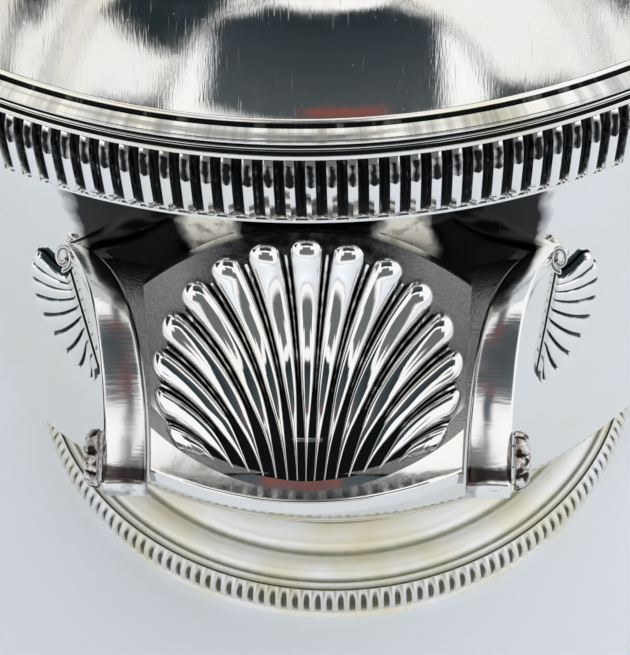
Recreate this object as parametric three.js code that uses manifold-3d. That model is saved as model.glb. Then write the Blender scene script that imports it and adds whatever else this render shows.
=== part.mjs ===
// Champagne cooler in silver plate: a round-bottomed vessel with a moulded rim and a gadroon border,
// a stepped round foot with its own border, and two fixed handles on opposite sides of the wall. Each
// handle is a ribbed scallop shell on a curved plate between two strap arms, with a half palmette on the
// wall outside each arm and a rosette boss on the outer end of each arm.
// Millimetres, +Z up. The origin is the middle of the foot, on the table. The handles face -Y and +Y.
import * as THREE from "three";
import { mergeVertices } from "three/addons/utils/BufferGeometryUtils.js";
import Module from "manifold-3d";

const wasm = await Module();
wasm.setup();

// Vessel
const HEIGHT = 204; // top of the rim above the table
const WALL_RADIUS = 104; // outside of the wall under the rim
const WALL_TAPER = 8; // the wall narrows this much between the shoulder and the round bottom
const SHOULDER_DROP = 14; // from the top of the rim down to the shoulder, where the wall flares to the rim
const TURN_DROP = 89; // from the top of the rim down to where the wall turns in to the round bottom
const SHEET = 1.6; // thickness of the vessel's sheet
const BOTTOM_RADIUS = 34; // flat of the bottom, which the collar carries
const BOTTOM_ROUNDNESS = 2.2; // exponent of the bottom's curve, 2 is an ellipse

// Rim
const MOUTH_FLARE = 3.4; // the inner edge of the rim moulding stands out this far past the wall
const RIM_WIDTH = 5; // from the inner edge to the outermost band
const RIM_DEPTH = 4.6; // height of the rim moulding
const GADROONS = 218; // lobes in the border under the moulding
const GADROON_BAND = 15; // height of that border
const GADROON_BULGE = 2.2; // how far a lobe stands out past its top
const GADROON_GROOVE = 1.1; // depth of the grooves between the lobes

// Foot
const FOOT_RADIUS = 72.6; // outside of the ring that stands on the table
const BASE_RING_HEIGHT = 2.4;
const BASE_RING_WIDTH = 3.2;
const FOOT_BORDER_HEIGHT = 8;
const FOOT_GADROONS = 174;
const FOOT_BULGE = 1.3; // how far a lobe of the foot's border stands out past the ring
const FOOT_GROOVE = 0.6;
const FOOT_SHEET = 1.5;
const FOOT_RISE = 11.6; // from the foot's rim to the flat that carries the collar
const FLAT_RADIUS = 38; // outside of that flat
const COLLAR_HEIGHT = 3.8;
const COLLAR_BORE = 30; // inner radius of the collar
const COLLAR_SWELL = 3.5; // how far the collar bulges past the flat

// Shell of a handle
const ARCH_DROP = 32; // from the top of the rim down to the shell's arch
const LIP_DROP = 59.4; // from the top of the rim down to the lip
const HANDLE_REACH = 32; // the shell's lip stands out this far past the wall, before its bow
const LIP_BOW = 2; // how far the middle of the lip stands out past that
const LIP_SWEEP = 7.5; // how far the lip falls back at its sides
const ARCH_HOLLOW = 4.6; // how far the shell's face has come out from the wall at the foot of its arch
const LIP_THICKNESS = 3.6;
const SHELL_THICKNESS = 2.2;
const SHELL_HALF_WIDTH = 27.5;
const SHELL_WAIST = 1.6; // the shell narrows this much down to the lip
const RIBS = 15;
const RIB_SPREAD = 16.9; // degrees between neighbouring ribs at their tips
const RIB_HEIGHT = 2;
const RIB_BOW = 0.14; // bend of the side ribs, as a share of their length
const FAN_WIDTH = 26.4; // half width of the fan of rib tips
const FAN_LENGTH = 25; // the fan's other radius, measured down the shell
const FAN_CENTRE = 26; // the fan's centre, measured down the shell from the arch
const RIB_FOOT = 42.4; // where the ribs end, measured the same way

// Plate under the shell, with an ear at each side
const EAR_DROP = 47.5; // from the top of the rim down to the plate where it meets the wall
const PLATE_THICKNESS = 2.6;
const PLATE_SETBACK = 4.5; // the plate's front corners stand back this far from the lip
const STRAP_DEPTH = 12.6; // the plate and the arms are drawn from this far inside the wall
const STRAP_CREST = 20; // from there to the point that pulls them up
const STRAP_CREST_RISE = 6.5;
const STRAP_HOLLOW = 24; // from there to the point that pulls them down

// Arms and bosses
const ARM_SETBACK = 1.5; // an arm's free end stands back this far from the lip
const ARM_PROUD = 0.9; // how far the arms stand above the plate
const ARM_THICKNESS = 3.8;
const ARM_EDGE = 0.5; // bevel along the arms
const ARM_OUTSIDE = 33.6; // outer edge of an arm at its free end
const ARM_INSIDE = 26; // inner edge of an arm at its free end
const ARM_FLARE = 10; // how much further out the outer edge is at the wall
const ARM_NARROWING = 15; // how much further out the inner edge is at the wall
const FLARE_LENGTH = 14; // along which the outer edge's flare dies away
const NARROWING_LENGTH = 13; // the same for the inner edge
const SCROLL_RADIUS = 2.4; // roll at the arm's root
const SCROLL_LENGTH = 3.6;
const BOSS_RADIUS = 5;
const BOSS_THICKNESS = 2.7;
const BOSS_SETBACK = 6; // boss's centre behind the arm's free end

// Palmettes, laid out on the wall in degrees round the axis and millimetres of height
const PALMETTE_INNER = 25.7; // degrees from the middle of the handle
const PALMETTE_WIDTH = 5.9; // degrees
const PALMETTE_DROP = 72.5; // from the top of the rim down to the palmette's middle
const PALMETTE_HALF_HEIGHT = 21;
const PALMETTE_LOBES = 9;
const PALMETTE_SPREAD = 18.5; // degrees between neighbouring grooves at their tips
const PALMETTE_SAG = 1.3; // how far the lobes hang below a straight line
const PALMETTE_RELIEF = 1.8;
const PALMETTE_GROOVE = 1;

const SEAT = 0.3; // clearance where one piece is fitted to another
const ARM_GAP = 0.4; // clearance between the plate and the arms
const ROUND = 60; // facets round the turned pieces

const silver = { color: 0xd9dadb, roughness: 0.08, metalness: 1 };
const oxidised = { color: 0xa9abad, roughness: 0.18, metalness: 1 };

const radians = THREE.MathUtils.degToRad;

// Solids, joined and cut

function toSolid(geometry) {
  const bare = geometry.clone();
  bare.deleteAttribute("normal");
  bare.deleteAttribute("uv");
  const merged = mergeVertices(bare, 1e-4);
  return new wasm.Manifold(
    new wasm.Mesh({
      numProp: 3,
      vertProperties: merged.attributes.position.array,
      triVerts: new Uint32Array(merged.index.array),
    }),
  );
}

function fromSolid(solid) {
  const mesh = solid.getMesh();
  const geometry = new THREE.BufferGeometry();
  const points = new Float32Array(mesh.numVert * 3);
  for (let i = 0; i < mesh.numVert; i += 1) {
    for (let axis = 0; axis < 3; axis += 1) points[3 * i + axis] = mesh.vertProperties[i * mesh.numProp + axis];
  }
  geometry.setAttribute("position", new THREE.BufferAttribute(points, 3));
  geometry.setIndex(new THREE.BufferAttribute(new Uint32Array(mesh.triVerts), 1));
  return geometry;
}

// Faces are lists of three point numbers. They are turned round together where they face inwards.
function solidFromFaces(points, faces) {
  let volume = 0;
  for (const [a, b, c] of faces) volume += points[a].dot(points[b].clone().cross(points[c]));
  const outward = volume < 0 ? faces.map(([a, b, c]) => [a, c, b]) : faces;
  const geometry = new THREE.BufferGeometry();
  geometry.setAttribute("position", new THREE.Float32BufferAttribute(points.flatMap((p) => p.toArray()), 3));
  geometry.setIndex(outward.flat());
  return geometry;
}

// Skin over a row of rings, each a closed loop of points. A bar has its two ends capped, and a hoop has
// its last ring joined to its first.
function ringSolid(rings, hoop = false) {
  const around = rings[0].length;
  const faces = [];
  const steps = hoop ? rings.length : rings.length - 1;
  for (let i = 0; i < steps; i += 1) {
    const next = (i + 1) % rings.length;
    for (let j = 0; j < around; j += 1) {
      const a = i * around + j;
      const b = i * around + ((j + 1) % around);
      const c = next * around + ((j + 1) % around);
      const d = next * around + j;
      faces.push([a, b, c], [a, c, d]);
    }
  }
  if (!hoop) {
    const last = (rings.length - 1) * around;
    for (let j = 1; j < around - 1; j += 1) {
      faces.push([0, j + 1, j]);
      faces.push([last, last + j, last + j + 1]);
    }
  }
  return solidFromFaces(rings.flat(), faces);
}

// Sheet between two surfaces given over the same grid, closed round its edge.
function sheetSolid(upper, lower) {
  const rows = upper.length;
  const columns = upper[0].length;
  const top = (i, j) => i * columns + j;
  const under = (i, j) => rows * columns + i * columns + j;
  const faces = [];
  const quad = (a, b, c, d) => faces.push([a, b, c], [a, c, d]);
  for (let i = 0; i < rows - 1; i += 1) {
    for (let j = 0; j < columns - 1; j += 1) {
      quad(top(i, j), top(i, j + 1), top(i + 1, j + 1), top(i + 1, j));
      quad(under(i, j), under(i + 1, j), under(i + 1, j + 1), under(i, j + 1));
    }
    quad(top(i, 0), top(i + 1, 0), under(i + 1, 0), under(i, 0));
    quad(top(i + 1, columns - 1), top(i, columns - 1), under(i, columns - 1), under(i + 1, columns - 1));
  }
  for (let j = 0; j < columns - 1; j += 1) {
    quad(top(0, j + 1), top(0, j), under(0, j), under(0, j + 1));
    quad(top(rows - 1, j), top(rows - 1, j + 1), under(rows - 1, j + 1), under(rows - 1, j));
  }
  return solidFromFaces([...upper.flat(), ...lower.flat()], faces);
}

// A closed profile of [radius, z] pairs turned round the axis. groove(facet, corner) takes metal off.
function turned(profile, facets = ROUND, groove = () => 0) {
  const rings = [];
  for (let i = 0; i < facets; i += 1) {
    const angle = (i / facets) * 2 * Math.PI;
    rings.push(
      profile.map(([radius, z], corner) => {
        const r = radius - groove(i, corner);
        return new THREE.Vector3(r * Math.cos(angle), r * Math.sin(angle), z);
      }),
    );
  }
  return ringSolid(rings, true);
}

// A profile that starts and ends on the axis, turned round it.
function turnedSolid(profile, facets = ROUND) {
  const lathe = new THREE.LatheGeometry(profile.map(([r, z]) => new THREE.Vector2(r, z)), facets);
  lathe.rotateX(Math.PI / 2);
  const position = lathe.attributes.position;
  const points = Array.from({ length: position.count }, (_, i) => new THREE.Vector3().fromBufferAttribute(position, i));
  const index = lathe.index.array;
  const faces = [];
  for (let i = 0; i < index.length; i += 3) faces.push([index[i], index[i + 1], index[i + 2]]);
  return solidFromFaces(points, faces);
}

// Vessel

const shoulderZ = HEIGHT - SHOULDER_DROP;
const turnZ = HEIGHT - TURN_DROP;
const mouthRadius = WALL_RADIUS + MOUTH_FLARE; // inner edge of the rim moulding
const rimUnder = HEIGHT - RIM_DEPTH; // underside of the rim moulding
const sheetTop = rimUnder + 1.5; // the sheet's edge is let into the moulding
const mouthOutside = mouthRadius - 0.2 + SHEET; // outside of the sheet at its edge
const borderTop = BASE_RING_HEIGHT + SEAT + FOOT_BORDER_HEIGHT; // top of the foot's border
const flatZ = borderTop + FOOT_RISE; // the flat that carries the collar
const bottomZ = flatZ + SEAT + COLLAR_HEIGHT + SEAT; // underside of the vessel's bottom

function wallRadius(z) {
  const share = (shoulderZ - z) / (shoulderZ - turnZ);
  return WALL_RADIUS - WALL_TAPER * THREE.MathUtils.clamp(share, 0, 1);
}

// The wall's flare under the rim, moved out or in by offset.
function flare(offset) {
  const out = mouthOutside - WALL_RADIUS;
  const rise = sheetTop - shoulderZ;
  return [
    [mouthOutside + offset, sheetTop],
    [WALL_RADIUS + 0.4 * out + offset, shoulderZ + 0.6 * rise],
    [WALL_RADIUS + offset, shoulderZ],
  ];
}

// Quarter turn of the bottom, from the wall in to the flat, moved out or in by offset.
function bottomCurve(offset, steps) {
  const outer = WALL_RADIUS - WALL_TAPER + offset;
  const drop = turnZ - bottomZ + offset;
  const curve = [];
  for (let i = 0; i <= steps; i += 1) {
    const angle = (i / steps) * (Math.PI / 2);
    const inward = Math.cos(angle) ** (2 / BOTTOM_ROUNDNESS);
    const down = Math.sin(angle) ** (2 / BOTTOM_ROUNDNESS);
    curve.push([BOTTOM_RADIUS + (outer - BOTTOM_RADIUS) * inward, turnZ - drop * down]);
  }
  return curve;
}

function bowl() {
  const outside = [...flare(0), ...bottomCurve(0, 8)];
  const inside = [...flare(-SHEET), ...bottomCurve(-SHEET, 7)];
  return turnedSolid([[0, bottomZ], ...outside.reverse(), ...inside, [0, bottomZ + SHEET]]);
}

// The vessel's outside with a seat's clearance, solid right through, to fit what is soldered to it.
function bowlCutter() {
  const outside = [...flare(SEAT), ...bottomCurve(SEAT, 8)];
  return toSolid(turnedSolid([[0, bottomZ - SEAT], ...outside.reverse(), [0, sheetTop]]));
}

const cutter = bowlCutter();

// Inner bead, flat band, groove, thin fillet, cove, and the fillet over the gadroons.
function rimMoulding() {
  const inner = mouthRadius;
  const outer = mouthRadius + RIM_WIDTH;
  const seatRadius = mouthOutside + SEAT;
  return turned([
    [inner, sheetTop + SEAT],
    [inner, HEIGHT - 0.8],
    [inner + 0.9, HEIGHT],
    [inner + 1.8, HEIGHT - 0.8],
    [inner + 2.4, HEIGHT - 0.2],
    [outer, HEIGHT - 0.8],
    [outer - 0.8, HEIGHT - 1.8],
    [outer - 0.1, HEIGHT - 2.4],
    [outer - 1.1, HEIGHT - 3.3],
    [outer - 0.1, HEIGHT - 4],
    [outer - 0.4, rimUnder],
    [seatRadius, rimUnder],
    [seatRadius, sheetTop + SEAT],
  ]);
}

function rimGadroons() {
  const top = rimUnder - SEAT;
  const bottom = top - GADROON_BAND;
  const edge = mouthRadius + RIM_WIDTH - 1.1;
  const profile = [
    [edge - 0.6, bottom],
    [edge + GADROON_BULGE, bottom + 0.42 * GADROON_BAND],
    [edge, top],
    [mouthOutside - 0.9 + SEAT, top],
    [wallRadius(bottom) + 2 * SEAT, bottom],
  ];
  const grooves = [0.4 * GADROON_GROOVE, GADROON_GROOVE, 0.7 * GADROON_GROOVE, 0, 0];
  return turned(profile, GADROONS * 2, (facet, corner) => (facet % 2) * grooves[corner]);
}

// Foot

const skirtRadius = FOOT_RADIUS - 1.4; // the dome's rim, which the border is fitted round

function footCollar() {
  const bottom = flatZ + SEAT;
  const top = bottomZ - SEAT;
  return turned([
    [COLLAR_BORE, bottom],
    [FLAT_RADIUS + 1, bottom],
    [FLAT_RADIUS + COLLAR_SWELL, (bottom + top) / 2],
    [FLAT_RADIUS + 1, top],
    [COLLAR_BORE, top],
  ]);
}

// The dome is laid out in shares of the way from its rim in to the flat, and of the way up.
function footDome() {
  const skirtFoot = BASE_RING_HEIGHT + SEAT;
  const at = (inward, up) => [skirtRadius - inward * (skirtRadius - FLAT_RADIUS), borderTop + up * FOOT_RISE];
  const under = (inward, up) => [at(inward, up)[0], at(inward, up)[1] - 1.5 * FOOT_SHEET];
  return turned([
    [skirtRadius, skirtFoot],
    [skirtRadius, borderTop],
    at(0.03, 0.06),
    at(0.05, 0.02),
    at(0.09, 0.17),
    at(0.16, 0.22),
    at(0.25, 0.15),
    at(0.29, 0.27),
    at(0.39, 0.42),
    at(0.47, 0.44),
    at(0.54, 0.6),
    at(0.8, 0.78),
    [FLAT_RADIUS, flatZ],
    [COLLAR_BORE - 1, flatZ],
    [COLLAR_BORE - 1, flatZ - FOOT_SHEET],
    under(0.8, 0.78),
    under(0.29, 0.27),
    [skirtRadius - FOOT_SHEET, borderTop - FOOT_SHEET],
    [skirtRadius - FOOT_SHEET, skirtFoot],
  ]);
}

function footGadroons() {
  const bottom = BASE_RING_HEIGHT + SEAT;
  const back = skirtRadius + 1.5 * SEAT;
  const profile = [
    [back, bottom],
    [FOOT_RADIUS + FOOT_BULGE, bottom + 0.4 * FOOT_BORDER_HEIGHT],
    [back, borderTop],
  ];
  return turned(profile, FOOT_GADROONS * 2, (facet, corner) => (corner === 1 ? (facet % 2) * FOOT_GROOVE : 0));
}

function footBaseRing() {
  return turned([
    [FOOT_RADIUS - BASE_RING_WIDTH, 0],
    [FOOT_RADIUS, 0],
    [FOOT_RADIUS, BASE_RING_HEIGHT],
    [FOOT_RADIUS - BASE_RING_WIDTH, BASE_RING_HEIGHT],
  ]);
}

// A handle is laid out facing -Y: x runs along the wall and reach is the distance from the axis.

// Section of the shell's face: from its arch on the wall down and out to the lip.
const archZ = HEIGHT - ARCH_DROP;
const lipZ = HEIGHT - LIP_DROP;
const lipReach = WALL_RADIUS + HANDLE_REACH;
const archReach = wallRadius(archZ) + 3 * SEAT;
const shellCurve = new THREE.QuadraticBezierCurve(
  new THREE.Vector2(archReach, archZ),
  new THREE.Vector2(archReach + ARCH_HOLLOW, lipZ + 0.07 * (archZ - lipZ)),
  new THREE.Vector2(lipReach, lipZ),
);
const shellLength = shellCurve.getLength();

// Section of the upper face of the plate or an arm, from inside the wall out to its free end.
const earZ = HEIGHT - EAR_DROP;
const plateZ = lipZ - 3 * SEAT; // the plate lies this high under the lip
const strapRoot = wallRadius(earZ) - STRAP_DEPTH;
function strapCurve(lift, reach) {
  return new THREE.CubicBezierCurve(
    new THREE.Vector2(strapRoot, earZ - SCROLL_RADIUS - 1.3 + lift),
    new THREE.Vector2(strapRoot + STRAP_CREST, earZ + STRAP_CREST_RISE + lift),
    new THREE.Vector2(strapRoot + STRAP_HOLLOW, plateZ + lift),
    new THREE.Vector2(reach, plateZ + lift),
  );
}

const armRoot = strapRoot + 2.2; // the arms' edges flare from here
const armOutside = (reach) => ARM_OUTSIDE + ARM_FLARE * Math.exp((armRoot - reach) / FLARE_LENGTH);
const armInside = (reach) => ARM_INSIDE + ARM_NARROWING * Math.exp((armRoot - reach) / NARROWING_LENGTH);

// Point of a section lifted square to it.
function sectionPoint(curve, t, lift) {
  const along = curve.getTangent(t);
  return curve.getPoint(t).addScaledVector(new THREE.Vector2(-along.y, along.x), lift);
}

// The lip bows out in its middle and falls back at its sides. share is 0 at the arch and 1 at the lip.
function bow(x, share) {
  const side = Math.abs(x) / SHELL_HALF_WIDTH;
  return (LIP_BOW - LIP_SWEEP * side * side) * share ** 3;
}

// Share of the section's length that the arch is lower by at its sides.
const shoulderDrop = (side) => 0.22 * Math.abs(side) ** 2.2;

function leafPoint(side, share, lift) {
  const x = side * (SHELL_HALF_WIDTH - SHELL_WAIST * share);
  const shoulder = shoulderDrop(side);
  const point = sectionPoint(shellCurve, shoulder + (1 - shoulder) * share, lift);
  return new THREE.Vector3(x, -(point.x + bow(x, share)), point.y);
}

function shellLeaf() {
  const upper = [];
  const lower = [];
  const rows = 7;
  const columns = 10;
  const sides = Array.from({ length: columns + 1 }, (_, j) => -1 + (2 * j) / columns);
  for (let i = 0; i <= rows; i += 1) {
    const share = i / rows;
    const thickness = SHELL_THICKNESS + (LIP_THICKNESS - SHELL_THICKNESS) * share ** 4;
    upper.push(sides.map((side) => leafPoint(side, share, 0)));
    lower.push(sides.map((side) => leafPoint(side, share, -thickness)));
  }
  return sheetSolid(upper, lower);
}

// A point on the shell's face given by x and the distance down from the arch.
function facePoint(x, down, lift) {
  const t = shellCurve.getUtoTmapping(0, Math.min(down, shellLength));
  const shoulder = shoulderDrop(x / (SHELL_HALF_WIDTH - SHELL_WAIST * t));
  const share = Math.max((t - shoulder) / (1 - shoulder), 0);
  const point = sectionPoint(shellCurve, t, lift);
  return new THREE.Vector3(x, -(point.x + bow(x, share)), point.y);
}

// Centre line of a rib as x and distance down. Ribs are numbered from the middle one outwards.
function ribLine(number) {
  const step = Math.abs(number);
  const side = Math.sign(number);
  const angle = radians(RIB_SPREAD * step);
  const foot = new THREE.Vector2(side * (1.3 * step + 0.12 * step * step), RIB_FOOT - 0.03 * step * step);
  const tip = new THREE.Vector2(side * FAN_WIDTH * Math.sin(angle), FAN_CENTRE - FAN_LENGTH * Math.cos(angle));
  const along = tip.clone().sub(foot);
  const bend = side * RIB_BOW * Math.min(step / 3, 1);
  const middle = foot.clone().lerp(tip, 0.5).add(new THREE.Vector2(along.y, -along.x).multiplyScalar(bend));
  return new THREE.QuadraticBezierCurve(foot, middle, tip);
}

// Ribs as a pleated sheet: each has a crest and two shoulders, with a valley between it and the next.
function ribFan() {
  const stations = [0, 0.3, 0.62, 0.86, 0.95, 1];
  const swell = [0.1, 0.45, 0.85, 1, 0.8, 0.1]; // share of the rib's height at each station
  const valley = { height: 0, length: 0.9 };
  const shoulder = { height: 0.7, length: 0.97 };
  const crest = { height: 1, length: 1 };
  const pleats = [];
  for (let rib = 0; rib < RIBS; rib += 1) {
    const number = rib - (RIBS - 1) / 2;
    pleats.push([number - 0.5, valley], [number - 0.3, shoulder], [number, crest], [number + 0.3, shoulder]);
  }
  pleats.push([RIBS / 2, valley]);
  const base = 0.25; // the valleys stand this far above the leaf
  const upper = [];
  const lower = [];
  for (const [number, { height, length }] of pleats) {
    const line = ribLine(number);
    const points = stations.map((station) => line.getPoint(station * length));
    upper.push(points.map((p, i) => facePoint(p.x, p.y, base + (RIB_HEIGHT - base) * height * swell[i])));
    lower.push(points.map((p) => facePoint(p.x, p.y, -0.5 * SHELL_THICKNESS)));
  }
  return sheetSolid(upper, lower);
}

function groundPlate() {
  const curve = strapCurve(0, lipReach - PLATE_SETBACK);
  const upper = [];
  const lower = [];
  const rows = 12;
  for (let i = 0; i <= rows; i += 1) {
    const t = i / rows;
    const top = sectionPoint(curve, t, 0);
    const under = sectionPoint(curve, t, -PLATE_THICKNESS);
    const half = armInside(top.x) - ARM_GAP;
    const sides = [-1, -0.5, 0, 0.5, 1].map((side) => side * half);
    upper.push(sides.map((x) => new THREE.Vector3(x, -top.x, top.y)));
    lower.push(sides.map((x) => new THREE.Vector3(x, -under.x, under.y)));
  }
  return sheetSolid(upper, lower);
}

function shell() {
  const joined = toSolid(shellLeaf()).add(toSolid(groundPlate())).add(toSolid(ribFan()));
  return fromSolid(joined.subtract(cutter));
}

// Strap arm, with the small roll that ends it at the wall. side is -1 for the left arm, 1 for the right.
function arm(side) {
  const curve = strapCurve(ARM_PROUD, lipReach - ARM_SETBACK);
  const rings = [];
  const steps = 12;
  for (let i = 0; i <= steps; i += 1) {
    const t = i / steps;
    const inside = armInside(curve.getPoint(t).x);
    const outside = armOutside(curve.getPoint(t).x);
    const corners = [
      [inside + ARM_EDGE, 0],
      [outside - ARM_EDGE, 0],
      [outside, ARM_EDGE],
      [outside, ARM_THICKNESS - ARM_EDGE],
      [outside - ARM_EDGE, ARM_THICKNESS],
      [inside + ARM_EDGE, ARM_THICKNESS],
      [inside, ARM_THICKNESS - ARM_EDGE],
      [inside, ARM_EDGE],
    ];
    rings.push(
      corners.map(([x, depth]) => {
        const point = sectionPoint(curve, t, -depth);
        return new THREE.Vector3(side * x, -point.x, point.y);
      }),
    );
  }
  const rollX = armOutside(armRoot) - 0.6;
  const rollReach = Math.sqrt(wallRadius(earZ) ** 2 - rollX ** 2) + 1;
  const roll = new THREE.CylinderGeometry(SCROLL_RADIUS, SCROLL_RADIUS, SCROLL_LENGTH, 14);
  roll.rotateZ(Math.PI / 2);
  roll.translate(side * rollX, -rollReach, earZ - SCROLL_RADIUS - 1.4);
  return fromSolid(toSolid(ringSolid(rings)).add(toSolid(roll)).subtract(cutter));
}

// Low rosette on the outer face of an arm, its axis along x.
function boss(side) {
  const reach = lipReach - ARM_SETBACK - BOSS_SETBACK;
  const outline = [
    [0, 0],
    [BOSS_RADIUS, 0],
    [BOSS_RADIUS, 0.5 * BOSS_THICKNESS],
    [0.7 * BOSS_RADIUS, 0.9 * BOSS_THICKNESS],
    [0, BOSS_THICKNESS],
  ];
  const geometry = turnedSolid(outline, 14);
  geometry.rotateY(side * (Math.PI / 2));
  geometry.translate(side * (armOutside(reach - BOSS_RADIUS) + SEAT), -reach, lipZ - 4 * SEAT);
  return geometry;
}

const palmetteZ = HEIGHT - PALMETTE_DROP;

// Line of a groove or lobe of the palmette, as degrees round the axis and height. Number 0 is the top edge.
function palmetteLine(number) {
  const angle = radians(62 - PALMETTE_SPREAD * number);
  const step = number - 1;
  const root = new THREE.Vector2(PALMETTE_INNER, palmetteZ + 12.3 - 2.1 * step - 0.2 * step * step);
  const tip = new THREE.Vector2(
    PALMETTE_INNER + 0.3 + Math.max(PALMETTE_WIDTH * Math.cos(angle), 0),
    palmetteZ + PALMETTE_HALF_HEIGHT * Math.sin(angle),
  );
  const middle = root.clone().lerp(tip, 0.5);
  middle.y -= 2 * PALMETTE_SAG;
  return new THREE.QuadraticBezierCurve(root, middle, tip);
}

// Half palmette on the wall outside an arm: lobes spring from its inner edge and fan out and down.
function palmette(side) {
  const stations = [0, 0.4, 0.8, 1];
  const fall = [1, 1, 1, 0.4]; // share of the relief at each station
  const onWall = (degrees, z, lift) => {
    const angle = radians(degrees);
    const radius = wallRadius(z) + lift;
    return new THREE.Vector3(side * radius * Math.sin(angle), -radius * Math.cos(angle), z);
  };
  const upper = [];
  const lower = [];
  for (let half = 0; half <= 2 * PALMETTE_LOBES; half += 1) {
    const isGroove = half % 2 === 0;
    const line = palmetteLine(half / 2);
    const points = stations.map((station) => line.getPoint(station * (isGroove ? 0.96 : 1)));
    const relief = PALMETTE_RELIEF - (isGroove ? PALMETTE_GROOVE : 0);
    upper.push(points.map((p, i) => onWall(p.x, p.y, SEAT + relief * fall[i])));
    lower.push(points.map((p) => onWall(p.x, p.y, -SHEET / 2)));
  }
  return fromSolid(toSolid(sheetSolid(upper, lower)).subtract(cutter));
}

// Assembly

function piece(name, geometry, finish = silver) {
  const mesh = new THREE.Mesh(geometry, new THREE.MeshStandardMaterial(finish));
  mesh.name = name;
  return mesh;
}

function handle(name) {
  const group = new THREE.Group();
  group.add(piece(`${name}_shell`, shell(), oxidised));
  for (const [label, side] of [["left", -1], ["right", 1]]) {
    group.add(piece(`${name}_${label}_arm`, arm(side)));
    group.add(piece(`${name}_${label}_boss`, boss(side), oxidised));
    group.add(piece(`${name}_${label}_palmette`, palmette(side), oxidised));
  }
  return group;
}

const cooler = new THREE.Group();
cooler.add(piece("bowl", bowl()));
cooler.add(piece("rim_moulding", rimMoulding()));
cooler.add(piece("rim_gadroons", rimGadroons(), oxidised));
cooler.add(piece("foot_collar", footCollar()));
cooler.add(piece("foot_dome", footDome()));
cooler.add(piece("foot_gadroons", footGadroons(), oxidised));
cooler.add(piece("foot_base_ring", footBaseRing()));

const back = handle("back");
back.rotation.z = Math.PI;
cooler.add(handle("front"), back);

export default cooler;
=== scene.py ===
# %% [markdown]
# # A silver-plated champagne cooler
# The object is a raised bowl on a spun foot. Its trim was cast or stamped apart and soldered on: a moulded
# mouth wire, a border of upright gadroons, and two handles, each a scallop shell between two strap arms.
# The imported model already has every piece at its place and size. This lesson gives each piece its smooth
# surface and its finish, then sets up the light and the camera of the photograph.

# %% Load the frame
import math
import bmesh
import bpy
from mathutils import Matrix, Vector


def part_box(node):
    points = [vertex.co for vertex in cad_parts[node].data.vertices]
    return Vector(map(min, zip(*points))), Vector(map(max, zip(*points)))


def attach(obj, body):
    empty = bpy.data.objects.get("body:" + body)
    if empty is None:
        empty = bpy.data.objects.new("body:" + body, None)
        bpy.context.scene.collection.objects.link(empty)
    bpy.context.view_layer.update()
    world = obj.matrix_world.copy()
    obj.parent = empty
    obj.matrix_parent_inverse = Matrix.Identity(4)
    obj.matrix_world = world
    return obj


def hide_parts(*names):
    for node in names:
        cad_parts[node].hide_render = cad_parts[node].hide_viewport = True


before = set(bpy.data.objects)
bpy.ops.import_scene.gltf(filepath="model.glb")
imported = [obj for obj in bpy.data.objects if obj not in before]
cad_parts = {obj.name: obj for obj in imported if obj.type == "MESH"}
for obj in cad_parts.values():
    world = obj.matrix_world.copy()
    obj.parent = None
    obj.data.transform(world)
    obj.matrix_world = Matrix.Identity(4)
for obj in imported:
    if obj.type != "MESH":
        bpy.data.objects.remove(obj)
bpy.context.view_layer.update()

# %% [markdown]
# ## Working in millimetres
# Blender's scene is in metres, and the parts of a silver vessel are a few millimetres thick. So shapes are
# laid out in millimetres and scaled down once, at the moment when a mesh becomes a piece.
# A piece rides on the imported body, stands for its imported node, and takes its finish from a material slot.

MM = 0.001
SMOOTH_UP_TO = math.radians(38)


def finish_piece(node, bm, finish, merge=0.004):
    """Joins points closer than merge, in mm, and hands the mesh over as the piece that stands for a node."""
    bmesh.ops.remove_doubles(bm, verts=bm.verts, dist=merge)
    bmesh.ops.recalc_face_normals(bm, faces=bm.faces)
    bmesh.ops.scale(bm, vec=(MM, MM, MM), verts=bm.verts)
    mesh = bpy.data.meshes.new(node + "_surface")
    bm.to_mesh(mesh)
    bm.free()
    mesh.polygons.foreach_set("use_smooth", [True] * len(mesh.polygons))
    mesh.set_sharp_from_angle(angle=SMOOTH_UP_TO)
    mesh.materials.append(finish)
    piece = bpy.data.objects.new(node + "_surface", mesh)
    bpy.context.scene.collection.objects.link(piece)
    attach(piece, "root")
    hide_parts(node)
    print(f"{piece.name}: {len(mesh.polygons)} faces")
    return piece


# %% [markdown]
# ## Sizes that the frame gives
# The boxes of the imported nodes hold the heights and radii, so they are read and not typed again.

# %% Read the frame's sizes
def box_mm(node):
    low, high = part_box(node)
    return low / MM, high / MM


HEIGHT = box_mm("rim_moulding")[1].z
RIM_UNDER = box_mm("rim_moulding")[0].z
RIM_OUTSIDE = box_mm("rim_moulding")[1].x
SHEET_TOP = box_mm("bowl")[1].z
MOUTH_OUTSIDE = box_mm("bowl")[1].x
BOTTOM_Z = box_mm("bowl")[0].z
FOOT_RADIUS = box_mm("foot_base_ring")[1].x
FLAT_Z = box_mm("foot_dome")[1].z
ARCH_Z = box_mm("front_shell")[1].z
LIP_FRONT = -box_mm("front_shell")[0].y
ARM_END = -box_mm("front_left_arm")[0].y
print(f"{HEIGHT:.1f} mm tall, {2 * RIM_OUTSIDE:.1f} mm across the mouth wire")
print(f"the handles reach {LIP_FRONT:.1f} mm from the axis")

# %% [markdown]
# ## Polished plate
# Silver is a metal with hardly any colour of its own: nearly all that shows is reflection. What keeps it
# from looking like plastic is the wear. Hand polishing leaves fine scratches, so a stretched noise disturbs
# the normal, a slower one bends the reflections, and others make the sheen and the tint uneven. The tint is
# a trace of yellow tarnish. The coordinates are metres, so the scale of a noise is its waves per metre.

# %% Build the polished finish
SILVER = (0.93, 0.925, 0.915, 1)
TARNISH = (0.84, 0.79, 0.57, 1)
TARNISH_SHARE = 0.25
CLOUDS = 28
WEAR = 160
WAVES = 70
SCRATCHES = 260
SCRATCH_STRENGTH = 0.05


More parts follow.
